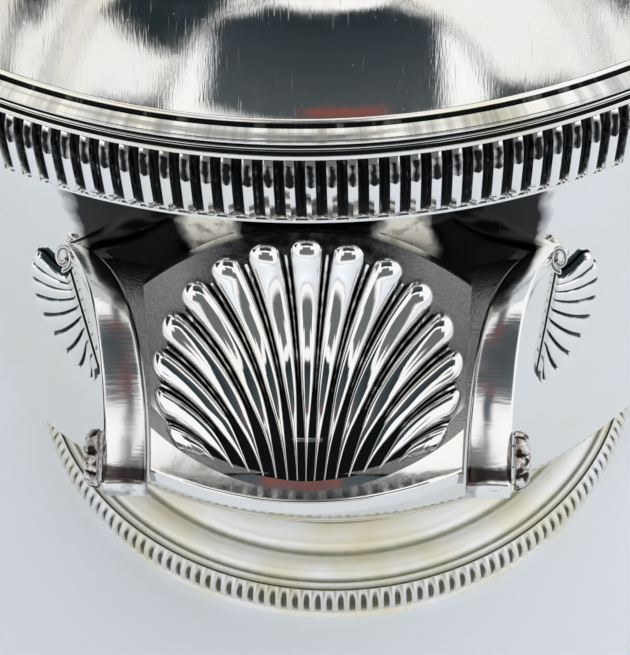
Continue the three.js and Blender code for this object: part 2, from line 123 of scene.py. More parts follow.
def add(tree, kind, inputs=None, **settings):
    """Adds a node. An input is given a value, or a link where the value is another node's output."""
    node = tree.nodes.new(kind)
    for name, value in settings.items():
        setattr(node, name, value)
    for name, value in (inputs or {}).items():
        if isinstance(value, bpy.types.NodeSocket):
            tree.links.new(value, node.inputs[name])
        else:
            node.inputs[name].default_value = value
    return node


def noise(tree, where, scale, detail=3, stretch=(1, 1, 1)):
    moved = add(tree, "ShaderNodeMapping", {"Vector": where, "Scale": stretch})
    made = add(tree, "ShaderNodeTexNoise", {"Vector": moved.outputs[0], "Scale": scale, "Detail": detail})
    return made.outputs["Fac"]


def remap(tree, value, low=0.0, high=1.0, to_low=0.0, to_high=1.0):
    names = {"Value": value, "From Min": low, "From Max": high, "To Min": to_low, "To Max": to_high}
    return add(tree, "ShaderNodeMapRange", names).outputs[0]


def mix(tree, share, first, second):
    colours = {"Factor": share, 6: first, 7: second}
    return add(tree, "ShaderNodeMix", colours, data_type="RGBA").outputs[2]


def combine(tree, operation, first, second=0.0, clamp=False):
    node = add(tree, "ShaderNodeMath", {0: first, 1: second}, operation=operation, use_clamp=clamp)
    return node.outputs[0]


def times(tree, first, second):
    return combine(tree, "MULTIPLY", first, second)


def bump(tree, height, strength, depth, under=None):
    """Bends the normal by a height, with the depth in millimetres, on top of another bump."""
    inputs = {"Height": height, "Strength": strength, "Distance": depth * MM}
    if under:
        inputs["Normal"] = under
    return add(tree, "ShaderNodeBump", inputs).outputs[0]


def new_finish(name):
    finish = bpy.data.materials.new(name)
    finish.use_nodes = True
    tree = finish.node_tree
    shader = tree.nodes["Principled BSDF"]
    shader.inputs["Metallic"].default_value = 1
    where = add(tree, "ShaderNodeTexCoord").outputs["Object"]
    return finish, tree, shader, where


def polished(name, sheen, stretch, waves):
    finish, tree, shader, where = new_finish(name)
    tint = remap(tree, noise(tree, where, CLOUDS), 0.4, 0.7, 0, TARNISH_SHARE)
    tree.links.new(mix(tree, tint, SILVER, TARNISH), shader.inputs["Base Color"])
    wear = noise(tree, where, WEAR, 4)
    tree.links.new(remap(tree, wear, 0.35, 0.7, *sheen), shader.inputs["Roughness"])
    slow = bump(tree, noise(tree, where, WAVES, 2), waves, 4)
    lines = noise(tree, where, SCRATCHES, 4, stretch)
    tree.links.new(bump(tree, lines, SCRATCH_STRENGTH, 0.4, slow), shader.inputs["Normal"])
    return finish


# %% [markdown]
# The bowl needs more. Under the rim, where a handle crowds the wall, the plate is painted black over the
# shell and over each arm, a painted dark reflection of the handle and its shade, and a dull cream between
# them, a painted pale reflection. These patches are windows in the bowl's own coordinates, measured sideways
# from the middle of the handle, with edges that a noise makes ragged. They lie on the outside only, which an
# attribute of the mesh marks. All over the bowl, a few long scratches and specks are rougher than the rest.

# %% Lay out the patches over a handle
PATCH_DEPTH = 20
PATCH_RAGGED = 1.5
PATCH_WALL = 90
BLACK_MIDDLE = 11.5
CREAM_FROM = 12.5
CREAM_TO = 20.5
EAR_TO = 40.5
EAR_TOP = HEIGHT - 20
EAR_BEND = 28
EAR_FALL = 12


def window(tree, value, low, high, soft):
    """1 between low and high, with soft edges."""
    rising = remap(tree, value, low - soft, low + soft)
    falling = remap(tree, value, high - soft, high + soft, 1, 0)
    return times(tree, rising, falling)


def window_mm(tree, length, low, high, soft):
    return window(tree, length, low * MM, high * MM, soft * MM)


def attribute(tree, name):
    return add(tree, "ShaderNodeAttribute", attribute_name=name).outputs["Fac"]


def beside_handle(tree, where, x):
    """Distance sideways from the middle of a handle, made ragged."""
    ragged = remap(tree, noise(tree, where, 90, 4), 0.3, 0.7, -PATCH_RAGGED * MM, PATCH_RAGGED * MM)
    return combine(tree, "ADD", combine(tree, "ABSOLUTE", x), ragged)


def over_handle(tree, y, z):
    """1 on the outside of the wall, above a handle."""
    height = window_mm(tree, z, ARCH_Z - PATCH_DEPTH, HEIGHT, 2)
    near = window_mm(tree, combine(tree, "ABSOLUTE", y), PATCH_WALL, RIM_OUTSIDE + 5, 1)
    return times(tree, times(tree, height, near), remap(tree, attribute(tree, "outside"), 0.4, 0.6))


def painted_dark_patches(tree, sideways, z):
    """Painted dark reflection: one patch over the shell, and one over each arm, with a top edge that falls
    away outwards.
    """
    middle = window_mm(tree, sideways, -BLACK_MIDDLE, BLACK_MIDDLE, 1)
    ears = window_mm(tree, sideways, CREAM_TO, EAR_TO, 1.2)
    beyond = remap(tree, sideways, EAR_BEND * MM, EAR_TO * MM)
    fall = times(tree, times(tree, beyond, beyond), EAR_FALL * MM)
    under_top = window_mm(tree, combine(tree, "ADD", z, fall), 0, EAR_TOP, 0.8)
    return combine(tree, "ADD", middle, times(tree, ears, under_top), clamp=True)


# %% Build the bowl's finish
# Painted reflection on the wall over a handle: black for the handle's dark reflection and shade, cream for a
# pale reflection
PAINTED_DARK_REFLECTION = (0.004, 0.004, 0.004, 1)
PAINTED_PALE_REFLECTION = (0.86, 0.83, 0.72, 1)
SMUDGE = (0.2, 0.17, 0.12, 1)


def handling_marks(tree, where):
    """Roughness of the long scratches and of the specks."""
    scratch = remap(tree, noise(tree, where, 150, 3, (16, 0.5, 0.5)), 0.655, 0.70, 0, 0.26)
    speck = remap(tree, noise(tree, where, 1100, 2), 0.745, 0.77, 0, 0.4)
    return combine(tree, "MAXIMUM", scratch, speck)


def linked(shader, name):
    return shader.inputs[name].links[0].from_socket


def bowl_finish():
    finish = polished("scratched_bowl_painted_reflection", sheen=(0.04, 0.10), stretch=(8, 1, 1), waves=0.01)
    tree = finish.node_tree
    shader = tree.nodes["Principled BSDF"]
    where = add(tree, "ShaderNodeTexCoord").outputs["Object"]
    x, y, z = add(tree, "ShaderNodeSeparateXYZ", {"Vector": where}).outputs
    sideways = beside_handle(tree, where, x)
    near_handle = over_handle(tree, y, z)
    # painted dark reflection over the shell and the arms, painted pale reflection between them
    painted_dark = times(tree, painted_dark_patches(tree, sideways, z), near_handle)
    painted_pale = times(tree, window_mm(tree, sideways, CREAM_FROM, CREAM_TO, 0.8), near_handle)
    smudges = remap(tree, noise(tree, where, 420, 4), 0.5, 0.66, 0, 0.7)
    colour = mix(tree, painted_pale, linked(shader, "Base Color"), mix(tree, smudges, PAINTED_PALE_REFLECTION, SMUDGE))
    tree.links.new(mix(tree, painted_dark, colour, PAINTED_DARK_REFLECTION), shader.inputs["Base Color"])
    tree.links.new(remap(tree, painted_pale, 0, 1, 1, 0.2), shader.inputs["Metallic"])
    marks = combine(tree, "MAXIMUM", handling_marks(tree, where), times(tree, painted_pale, 0.5))
    rough = combine(tree, "MAXIMUM", linked(shader, "Roughness"), marks)
    tree.links.new(rough, shader.inputs["Roughness"])
    return finish


bowl_plate = bowl_finish()

# %% [markdown]
# The arms are polished too, with broader waves, since a file shaped them. The last millimetres of each are
# painted dark brown, a painted reflection.

# %% Build the arms' finish
PAINTED_END_REFLECTION = (0.045, 0.02, 0.016, 1)
END_RAGGED = 0.8


def arm_finish():
    finish = polished("strap_plate_painted_end", sheen=(0.12, 0.2), stretch=(1, 8, 1), waves=0.12)
    tree = finish.node_tree
    shader = tree.nodes["Principled BSDF"]
    where = add(tree, "ShaderNodeTexCoord").outputs["Object"]
    y = add(tree, "ShaderNodeSeparateXYZ", {"Vector": where}).outputs[1]
    ragged = remap(tree, noise(tree, where, 200, 3), 0.3, 0.7, -END_RAGGED * MM, END_RAGGED * MM)
    outward = combine(tree, "ADD", combine(tree, "ABSOLUTE", y), ragged)
    # painted reflection: the end of each arm is painted dark brown
    painted_end = times(tree, window_mm(tree, outward, ARM_END - 3.6, ARM_END - 0.5, 0.4), 0.9)
    tree.links.new(mix(tree, painted_end, linked(shader, "Base Color"), PAINTED_END_REFLECTION), shader.inputs["Base Color"])
    return finish


strap_plate_painted_end = arm_finish()

# %% [markdown]
# ## Chased plate
# In the grooves of a border or a shell the polishing cloth never reaches, and the silver there turns black.
# Each mesh carries how deep a point lies in its recess attribute, and the finish darkens with it. On the
# beads of the mouth wire, the gadroons' crests and the shell's dish edge and arch, it also carries painted
# shade and painted reflection.
# Another attribute, ground, marks where the surface was matted with a punch, which a fine bump imitates.
# On the mouth wire the edges of these dark marks run in streaks out from the axis. The foot has a dull yellow
# haze all over, so its finish is a coat rather than a metal, and its grooves are only olive.

# %% Build the chased finishes
OXIDE = (0.012, 0.013, 0.014, 1)
BLUE_OXIDE = (0.04, 0.065, 0.07, 1)
PALE_OLIVE = (0.27, 0.28, 0.20, 1)
OLIVE = (0.15, 0.15, 0.11, 1)
GROUND_ROUGH = 0.35
GROOVE_ROUGH = 0.45


def oxide_and_shade_edge(tree, where, streaks):
    """The noise that breaks the edge of the oxide and of the painted shade."""
    if not streaks:
        return noise(tree, where, 500, 3)
    flat = add(tree, "ShaderNodeMapping", {"Vector": where, "Scale": (1, 1, 0)}).outputs[0]
    around = add(tree, "ShaderNodeVectorMath", {0: flat}, operation="NORMALIZE").outputs[0]
    return noise(tree, around, 45, 3)


def chased(name, oxide=OXIDE, tarnish=0.2, matting=0.6, polish=0.07, metal=1, streaks=False, uneven=0.16):
    finish, tree, shader, where = new_finish(name)
    shader.inputs["Metallic"].default_value = metal
    ground = attribute(tree, "ground")
    tinted = mix(tree, remap(tree, noise(tree, where, 60), 0.4, 0.7, 0, tarnish), SILVER, TARNISH)
    grain = noise(tree, where, 2600, 3)
    grainy = times(tree, ground, remap(tree, grain, 0.35, 0.65, 1.0, 0.9))
    patchy = remap(tree, noise(tree, where, 130, 3), 0.35, 0.7, 1.0, 0.94)
    dulled = mix(tree, times(tree, grainy, patchy), tinted, oxide)
    ragged = remap(tree, oxide_and_shade_edge(tree, where, streaks), 0.3, 0.7, -uneven, uneven)
    # dark by the recess attribute: oxide in grooves, plus painted shade and painted reflection where a mesh
    # marks them
    dark = remap(tree, combine(tree, "ADD", attribute(tree, "recess_and_painted_shade"), ragged), 0.35, 0.8)
    tree.links.new(mix(tree, dark, dulled, oxide), shader.inputs["Base Color"])
    grooved = remap(tree, dark, to_low=polish, to_high=GROOVE_ROUGH)
    rough = combine(tree, "ADD", times(tree, ground, GROUND_ROUGH), grooved)
    tree.links.new(rough, shader.inputs["Roughness"])
    wear = bump(tree, noise(tree, where, SCRATCHES, 4), SCRATCH_STRENGTH, 0.4)
    tree.links.new(bump(tree, times(tree, grain, ground), matting, 0.3, wear), shader.inputs["Normal"])
    return finish


border_plate = chased("gadroon_plate")
mouth_plate = chased("mouth_plate", tarnish=0.7, streaks=True)
shell_plate = chased("shell_plate", matting=0.8)
leaf_plate = chased("palmette_plate", oxide=BLUE_OXIDE)
foot_plate = chased("foot_plate", oxide=PALE_OLIVE, tarnish=1.0, polish=0.25, metal=0.15, uneven=0.03)
foot_border_plate = chased("foot_gadroon_plate", oxide=OLIVE, tarnish=1.0, polish=0.35, metal=0.9)
print(f"{len(bpy.data.materials)} finishes for the plate")

# %% [markdown]
# ## Turning
# The bowl, the mouth wire and the foot are round. A spinner's outline is drawn as a wire of a few corners,
# each with the rounding it needs, the vertex bevel rounds them, and a full spin turns the wire round.

# %% Turn an outline round the axis
STEPS = 288


def outline(corners, closed=True):
    bm = bmesh.new()
    points = [bm.verts.new((corner[0], 0, corner[1])) for corner in corners]
    ends = points[1:] + points[:1] if closed else points[1:]
    for pair in zip(points, ends):
        bm.edges.new(pair)
    for point, corner in zip(points, corners):
        if len(corner) > 2:
            bmesh.ops.bevel(bm, geom=[point], offset=corner[2], offset_type="OFFSET", segments=5,
                            profile=0.5, affect="VERTICES", material=-1)
    return bm


def turn(bm, steps=STEPS):
    bmesh.ops.spin(bm, geom=bm.verts[:] + bm.edges[:], cent=(0, 0, 0), axis=(0, 0, 1),
                   angle=math.tau, steps=steps, use_merge=True)
    return bm


# %% [markdown]
# ## Bowl
# The bowl is one sheet, raised from a disc. Its wall flares at the mouth, tapers a little, then turns in
# through a round bottom, which a superellipse describes with two radii and one exponent. The outline runs up
# the outside and back down the inside, and starts and ends on the axis. The inside closes in one rounder
# curve: its reflections in the photograph bend that way. The outer points are marked before the spin, so
# that the finish knows the two sides apart.

# %% Turn the bowl
WALL_RADIUS = 104
WALL_TAPER = 8
SHOULDER_Z = HEIGHT - 14
TURN_Z = HEIGHT - 89
SHEET = 1.6
BOTTOM_RADIUS = 34
ROUNDNESS = 2.2
FLARE_STEPS = 8
WALL_STEPS = 12


def wall_radius(z):
    return WALL_RADIUS - WALL_TAPER * min(max((SHOULDER_Z - z) / (SHOULDER_Z - TURN_Z), 0), 1)


def bezier(points, t):
    points = [Vector(point) for point in points]
    while len(points) > 1:
        points = [a.lerp(b, t) for a, b in zip(points, points[1:])]
    return points[0]


def upper_side(offset):
    """Points from the mouth down to the turn, moved out from the wall by the offset."""
    shoulder = WALL_RADIUS + offset
    taper_z = SHOULDER_Z - TURN_Z
    flare = [(MOUTH_OUTSIDE + offset, SHEET_TOP),
             (shoulder + 0.4, SHOULDER_Z + 0.55 * (SHEET_TOP - SHOULDER_Z)),
             (shoulder, SHOULDER_Z)]
    side = [tuple(bezier(flare, step / FLARE_STEPS)) for step in range(FLARE_STEPS)]
    for step in range(WALL_STEPS):
        share = step / WALL_STEPS
        side.append((shoulder - WALL_TAPER * share, SHOULDER_Z - taper_z * share))
    return side


def bowl_outside(steps=30):
    middle = WALL_RADIUS - WALL_TAPER
    side = upper_side(0)
    for step in range(steps + 1):
        angle = math.radians(90 * step / steps)
        inward = max(math.cos(angle), 0) ** (2 / ROUNDNESS)
        down = math.sin(angle) ** (2 / ROUNDNESS)
        side.append((BOTTOM_RADIUS + (middle - BOTTOM_RADIUS) * inward, TURN_Z - (TURN_Z - BOTTOM_Z) * down))
    return side


def bowl_inside(steps=48):
    middle = WALL_RADIUS - WALL_TAPER - SHEET
    drop = TURN_Z - BOTTOM_Z - SHEET
    side = upper_side(-SHEET)
    for step in range(steps):
        angle = math.radians(90 * step / steps)
        side.append((middle * math.cos(angle), TURN_Z - drop * math.sin(angle)))
    return side


outer_side = [(0, BOTTOM_Z)] + bowl_outside()[::-1]
bowl = outline(outer_side + bowl_inside() + [(0, BOTTOM_Z + SHEET)], closed=False)
outside_mark = bowl.verts.layers.float.new("outside")
for vert in list(bowl.verts)[:len(outer_side)]:
    vert[outside_mark] = 1
finish_piece("bowl", turn(bowl), bowl_plate)

# %% [markdown]
# ## Mouth wire
# A drawn moulding strengthens the mouth. From the inside out it has a half-round bead, a broad band that is
# barely convex, a dark groove, a thin bead, a cove and the fillet that the gadroons hang from.

# %% Turn the mouth wire
MOUTH = WALL_RADIUS + 3.4


def mouth_wire():
    seat = MOUTH_OUTSIDE + 0.3
    return outline([
        (MOUTH, SHEET_TOP + 0.3),
        (MOUTH, HEIGHT - 0.3, 0.5),
        (MOUTH + 0.9, HEIGHT + 0.15, 0.6),
        (MOUTH + 1.75, HEIGHT - 0.5, 0.3),
        (MOUTH + 1.9, HEIGHT - 1.1),
        (MOUTH + 2.15, HEIGHT - 0.4, 0.12),
        (MOUTH + 3.5, HEIGHT - 0.15, 0.8),
        (RIM_OUTSIDE - 0.15, HEIGHT - 0.6, 0.3),
        (RIM_OUTSIDE - 0.1, HEIGHT - 1.15),
        (RIM_OUTSIDE - 0.2, HEIGHT - 1.3),
        (RIM_OUTSIDE - 0.9, HEIGHT - 1.6, 0.1),
        (RIM_OUTSIDE - 0.85, HEIGHT - 2.05),
        (RIM_OUTSIDE - 0.4, HEIGHT - 2.15),
        (RIM_OUTSIDE - 0.3, HEIGHT - 2.25),
        (RIM_OUTSIDE - 0.3, HEIGHT - 2.4),
        (RIM_OUTSIDE - 0.45, HEIGHT - 2.5),
        (RIM_OUTSIDE - 1.2, HEIGHT - 2.9, 0.2),
        (RIM_OUTSIDE - 1.1, HEIGHT - 3.5),
        (RIM_OUTSIDE - 1.0, HEIGHT - 3.62),
        (RIM_OUTSIDE - 0.1, HEIGHT - 3.75, 0.12),
        (RIM_OUTSIDE, RIM_UNDER, 0.2),
        (seat, RIM_UNDER),
        (seat, SHEET_TOP + 0.3),
    ])


def darken(bm, rule):
    """Marks how dark each point is by a rule on its radius and height: groove depth, and on the mouth wire
    painted reflection too.
    """
    recess_and_painted_shade = bm.verts.layers.float.new("recess_and_painted_shade")
    for vert in bm.verts:
        vert[recess_and_painted_shade] = rule(math.hypot(vert.co.x, vert.co.y), vert.co.z)
    return bm


# Grooves are oxide. The flanks of the half-round bead are painted dark, a painted reflection; the broad band
# is marked 0.44.
def mouth_oxide_and_painted_reflection(radius, z):
    bead = radius < MOUTH + 0.5 or MOUTH + 1.3 < radius < MOUTH + 2.0
    down = HEIGHT - z
    groove = 1.2 < down < 2.1 or 2.45 < down < 3.55
    band = radius > MOUTH + 2.1 and down < 1
    return 1 if groove else 0.85 if bead else 0.44 if band else 0


finish_piece("rim_moulding", darken(turn(mouth_wire()), mouth_oxide_and_painted_reflection), mouth_plate)

# %% [markdown]
# ## Gadroons
# A gadroon border is a row of upright lobes with deep gaps between them. A plain band is turned first, with
# six steps for each lobe. Then every point is moved: the steps gather at the gaps, which leaves a round
# lobe and a narrow groove, and the points in the groove sink towards the axis and are marked as recess. The
# top of each lobe's crest under the mouth wire is marked too, as a painted dark reflection.

# %% Shape a turned band into lobes
LOBE_STEPS = 6
STEP_PLACE = {-3: -0.5, -2: -0.335, -1: -0.235, 0: 0, 1: 0.235, 2: 0.335}
STEP_SINK = {-3: 1, -2: 0.85, -1: 0.17, 0: 0, 1: 0.17, 2: 0.85}
# How dark each step of a lobe's crest is painted, a painted reflection
STEP_PAINTED_REFLECTION = {-3: 0, -2: 0, -1: 0.62, 0: 1, 1: 0.62, 2: 0}


def plain(z):
    return 1, 0


def flute(bm, lobes, depth, floor_at, inner, end_at=plain):
    """Sinks the gaps between the lobes to the floor. Points inside the inner radius stay. At a height,
    end_at gives the width of a lobe as a share, and how dark its crest is painted, a painted reflection."""
    recess_and_painted_shade = bm.verts.layers.float.new("recess_and_painted_shade")
    pitch = math.tau / lobes
    for vert in bm.verts:
        radius = math.hypot(vert.co.x, vert.co.y)
        step = round(math.atan2(vert.co.y, vert.co.x) / (pitch / LOBE_STEPS))
        lobe = math.floor((step + 3) / LOBE_STEPS)
        within = step - lobe * LOBE_STEPS
        width, crest_reflection = end_at(vert.co.z)
        place = within / LOBE_STEPS
        proud = 0
        if radius > inner:
            place = STEP_PLACE[within] * (width if within > -3 else 1)
            proud = max(radius - floor_at(vert.co.z), 0)
        radius -= proud * STEP_SINK[within]
        angle = (lobe + place) * pitch
        vert.co.x = radius * math.cos(angle)
        vert.co.y = radius * math.sin(angle)
        vert[recess_and_painted_shade] = max(STEP_SINK[within] * min(1.6 * proud / depth, 1), STEP_PAINTED_REFLECTION[within] * crest_reflection)
    return bm


# %% Make the border under the mouth wire
GADROONS = 218
GAP_DEPTH = 2.3
BORDER_TOP = box_mm("rim_gadroons")[1].z
BORDER_BOTTOM = box_mm("rim_gadroons")[0].z
BORDER_OUTSIDE = box_mm("rim_gadroons")[1].x
BORDER_FLOOR = BORDER_OUTSIDE - GAP_DEPTH
BORDER_BACK = wall_radius(BORDER_BOTTOM) + 0.6
HEEL = 0.9
HEEL_ROUNDING = 2.6


def border_outline():
    lip = RIM_OUTSIDE - 0.25
    heel = BORDER_BOTTOM + HEEL
    face = [(BORDER_FLOOR, BORDER_TOP), (lip, BORDER_TOP - 0.02), (lip + 0.55, BORDER_TOP - 0.85),
            (BORDER_OUTSIDE - 0.25, BORDER_TOP - 1.85), (BORDER_OUTSIDE, BORDER_TOP - 4.6),
            (BORDER_OUTSIDE, BORDER_TOP - 5.1), (BORDER_OUTSIDE - 0.15, BORDER_TOP - 8)]
    for step in range(5):
        angle = math.radians(90 * step / 4)
        reach = BORDER_FLOOR + (GAP_DEPTH - 0.45) * math.cos(angle)
        face.append((reach, heel + HEEL_ROUNDING * (1 - math.sin(angle))))
    foot = BORDER_FLOOR + 0.3
    face += [(BORDER_FLOOR, heel - 0.1), (foot, heel - 0.3), (foot, BORDER_BOTTOM)]
    return outline(face + [(BORDER_BACK, BORDER_BOTTOM), (MOUTH_OUTSIDE - 0.6, BORDER_TOP)])


def border_floor(z):
    return BORDER_FLOOR if z > BORDER_BOTTOM + 0.75 else BORDER_OUTSIDE


def border_ends(z):
    """A lobe narrows to its round foot, and its crest near the top is painted dark, a painted reflection."""
    above = min(max((z - BORDER_BOTTOM - HEEL) / 2.2, 0), 1)
    width = 0.3 + 0.7 * math.sqrt(1 - (1 - above) ** 2)
    return width, 0.95 if BORDER_TOP - 4.8 < z < BORDER_TOP - 0.5 else 0


border = flute(turn(border_outline(), GADROONS * LOBE_STEPS), GADROONS, GAP_DEPTH, border_floor,
               BORDER_FLOOR + 0.02, border_ends)
finish_piece("rim_gadroons", border, border_plate)
print(f"border {BORDER_BOTTOM:.1f} to {BORDER_TOP:.1f} mm up, lobes {BORDER_OUTSIDE:.1f} mm out")

# %% [markdown]
# ## Foot
# The foot is spun in steps, with a small gadroon border between it and the plain ring that stands on the
# table. A collar joins it to the bowl. The steps are drawn as corners again, with generous rounding. Their
# corners are given as shares, inwards from the skirt to the flat and upwards from the border to the flat,
# and so are the olive lines that the tarnish draws in the hollows.

# %% Turn the collar, the dome and the base ring
SKIRT = FOOT_RADIUS - 1.4
FLAT_RADIUS = 38
FOOT_BORDER_TOP = box_mm("foot_gadroons")[1].z
FOOT_BORDER_BOTTOM = box_mm("foot_gadroons")[0].z
BASE_TOP = box_mm("foot_base_ring")[1].z
BASE_WIDTH = 3.2
COLLAR_BORE = 30
DOME_SHEET = 1.5
DOME_GROOVES = ((0.0, 0.04), (0.055, 0.035), (0.25, 0.045), (0.455, 0.04), (1.0, 0.1))


def collar_outline():
    low, high = box_mm("foot_collar")
    middle = (low.z + high.z) / 2
    return outline([
        (COLLAR_BORE, low.z), (FLAT_RADIUS + 0.8, low.z), (high.x - 0.4, low.z + 0.5, 0.8),
        (high.x + 0.15, middle, 0.9), (high.x - 0.4, high.z - 0.5, 0.8), (FLAT_RADIUS + 0.8, high.z),
        (COLLAR_BORE, high.z),
    ])


def dome_outline():
    rise = FLAT_Z - FOOT_BORDER_TOP

    def at(inward, up, *rounding):
        return (SKIRT - inward * (SKIRT - FLAT_RADIUS), FOOT_BORDER_TOP + up * rise, *rounding)

    def under(inward, up):
        return at(inward, up)[0], at(inward, up)[1] - 1.5 * DOME_SHEET

    skirt_inside = SKIRT - DOME_SHEET
    bore = COLLAR_BORE - 1
    return outline([
        (SKIRT, FOOT_BORDER_BOTTOM), (SKIRT, FOOT_BORDER_TOP), at(0.03, 0.07, 0.5), at(0.055, 0.0, 0.3),
        at(0.085, 0.19, 0.7), at(0.16, 0.25, 1.2), at(0.25, 0.13, 0.6), at(0.29, 0.3, 0.9),
        at(0.385, 0.43, 1.5), at(0.47, 0.42, 0.6), at(0.53, 0.62, 1.2), at(0.8, 0.8, 3.5),
        (FLAT_RADIUS, FLAT_Z), (bore, FLAT_Z),
        (bore, FLAT_Z - DOME_SHEET), under(0.8, 0.78), under(0.29, 0.27),
        (skirt_inside, FOOT_BORDER_TOP - DOME_SHEET), (skirt_inside, FOOT_BORDER_BOTTOM),
    ])


def between(value, low, high):
    """Smooth step from 0 at low to 1 at high."""
    t = min(max((value - low) / (high - low), 0), 1)
    return t * t * (3 - 2 * t)


def dome_grooves(radius, z):
    inward = (SKIRT - radius) / (SKIRT - FLAT_RADIUS)
    return max(0.8 * (1 - between(abs(inward - place), 0, width)) for place, width in DOME_GROOVES)


def base_outline():
    inner = FOOT_RADIUS - BASE_WIDTH
    return outline([(inner, 0), (FOOT_RADIUS, 0, 0.3), (FOOT_RADIUS, BASE_TOP, 0.5), (inner, BASE_TOP)])


finish_piece("foot_collar", turn(collar_outline()), foot_plate)
finish_piece("foot_dome", darken(turn(dome_outline()), dome_grooves), foot_plate)
finish_piece("foot_base_ring", turn(base_outline()), foot_plate)

# %% Make the foot's border
FOOT_GADROONS = 174
FOOT_GAP_DEPTH = 1.6
FOOT_BORDER_BACK = SKIRT + 0.45


def foot_border_outline():
    reach = box_mm("foot_gadroons")[1].x
    middle = (FOOT_BORDER_TOP + FOOT_BORDER_BOTTOM) / 2
    crest = [(FOOT_BORDER_BACK + 0.4, FOOT_BORDER_BOTTOM), (reach + 0.9, FOOT_BORDER_BOTTOM + 1.2),
             (reach + 0.7, middle + 1.5), (FOOT_BORDER_BACK + 0.2, FOOT_BORDER_TOP)]
    face = [tuple(bezier(crest, t / 7)) for t in range(8)]
    return outline(face + [(FOOT_BORDER_BACK, FOOT_BORDER_TOP), (FOOT_BORDER_BACK, FOOT_BORDER_BOTTOM)])


def foot_floor(z):
    share = (z - FOOT_BORDER_BOTTOM) / (FOOT_BORDER_TOP - FOOT_BORDER_BOTTOM)
    return FOOT_BORDER_BACK + 0.25 + 0.75 * (1 - (2 * share - 1) ** 2)


foot_border = flute(turn(foot_border_outline(), FOOT_GADROONS * LOBE_STEPS), FOOT_GADROONS, FOOT_GAP_DEPTH,
                    foot_floor, FOOT_BORDER_BACK + 0.1)
finish_piece("foot_gadroons", foot_border, foot_border_plate)

# %% [markdown]
# ## Laying out a handle
# A handle faces -Y. Its sections are curves in a plane through the axis: reach is the distance from the
# axis and z the height. The shell's face sweeps from its arch on the wall down and out to the lip, and the
# straps leave the wall, turn over and run out level. Both are drawn as Bezier curves.

# %% Lay out the shell and the straps
LIP_BOW = 2
LIP_SWEEP = 7.5
LIP_Z = HEIGHT - 59.4
LIP_REACH = LIP_FRONT - LIP_BOW
SHELL_HALF_WIDTH = 27.5
SHELL_WAIST = 1.6
ARCH_HOLLOW = 4.6
ARCH_REACH = wall_radius(ARCH_Z) + 0.9
HOLLOW_Z = LIP_Z + 0.07 * (ARCH_Z - LIP_Z)
SHELL_CURVE = [(ARCH_REACH, ARCH_Z), (ARCH_REACH + ARCH_HOLLOW, HOLLOW_Z), (LIP_REACH, LIP_Z)]
EAR_Z = HEIGHT - 47.5
STRAP_ROOT = wall_radius(EAR_Z) - 12.6
STRAP_CREST = 20
STRAP_CREST_RISE = 6.5
STRAP_HOLLOW = 24
ARM_ROOT = STRAP_ROOT + 2.2


def strap_curve(lift, reach):
    level = LIP_Z - 0.9 + lift
    return [(STRAP_ROOT, EAR_Z - 3.7 + lift), (STRAP_ROOT + STRAP_CREST, EAR_Z + STRAP_CREST_RISE + lift),
            (STRAP_ROOT + STRAP_HOLLOW, level), (reach, level)]


def lifted(curve, t, lift):
    """Point of a section curve, lifted square to it."""
    along = (bezier(curve, min(t + 0.002, 1)) - bezier(curve, max(t - 0.002, 0))).normalized()
    return bezier(curve, t) + Vector((-along.y, along.x)) * lift


def lip_bow(x, share):
    return (LIP_BOW - LIP_SWEEP * (x / SHELL_HALF_WIDTH) ** 2) * share ** 3


def shoulder_drop(side):
    return 0.22 * abs(side) ** 2.2


def leaf_point(side, share, lift):
    """Point of the shell's plate: side runs from -1 to 1, share from the arch to the lip."""
    x = side * (SHELL_HALF_WIDTH - SHELL_WAIST * share)
    shoulder = shoulder_drop(side)
    point = lifted(SHELL_CURVE, shoulder + (1 - shoulder) * share, lift)
    return Vector((x, -(point.x + lip_bow(x, share)), point.y))


# %% Lay out the dish behind the lip
DISH_DEPTH = 2.6
DISH_LENGTH = 9
DISH_HALF_WIDTH = 22
DISH_SWEEP = 8.3
LIP_WIDTH = 2.2


def behind_lip(point):
    return LIP_FRONT - LIP_WIDTH - DISH_SWEEP * (point.x / DISH_HALF_WIDTH) ** 2 + point.y


def dish(point):
    """Lift of the surface, which is downwards behind the lip, and how dark the dish's front edge is painted,
    a painted shadow.
    """
    inside = behind_lip(point)
    fall = max(1 - max(inside - 0.4, 0) / DISH_LENGTH, 0)
    lift = -DISH_DEPTH * between(inside, 0.02, 0.3) * fall ** 1.2
    return lift, 0.9 * between(inside, 0.02, 0.2) * (1 - between(inside, 0.5, 1.2))


# %% Measure along the shell's section
import bisect

SAMPLES = 400
section = [bezier(SHELL_CURVE, i / SAMPLES) for i in range(SAMPLES + 1)]
down_at = [0.0]
for first, second in zip(section, section[1:]):
    down_at.append(down_at[-1] + (second - first).length)
print(f"the shell's face is {down_at[-1]:.1f} mm long from arch to lip")


def face_point(x, down, lift):
    """Point of the face at x and a distance down from the arch."""
    index = min(max(bisect.bisect_left(down_at, down), 1), SAMPLES)
    part = (down - down_at[index - 1]) / (down_at[index] - down_at[index - 1])
    t = min((index - 1 + part) / SAMPLES, 1)
    shoulder = shoulder_drop(x / (SHELL_HALF_WIDTH - SHELL_WAIST * t))
    share = max((t - shoulder) / (1 - shoulder), 0)
    flat = lifted(SHELL_CURVE, t, 0)
    dished = dish(Vector((x, -(flat.x + lip_bow(x, share)), flat.y)))[0]
    point = lifted(SHELL_CURVE, t, lift + dished)
    return Vector((x, -(point.x + lip_bow(x, share)), point.y))


# %% [markdown]
# ## Skins
# The curved plates are skins between two surfaces that share one unit square. Two grids are made, each
# point is sent to its place on its surface, and a bridge closes the edge. A surface returns the point, how
# deep it lies in a groove and how much it is matted.

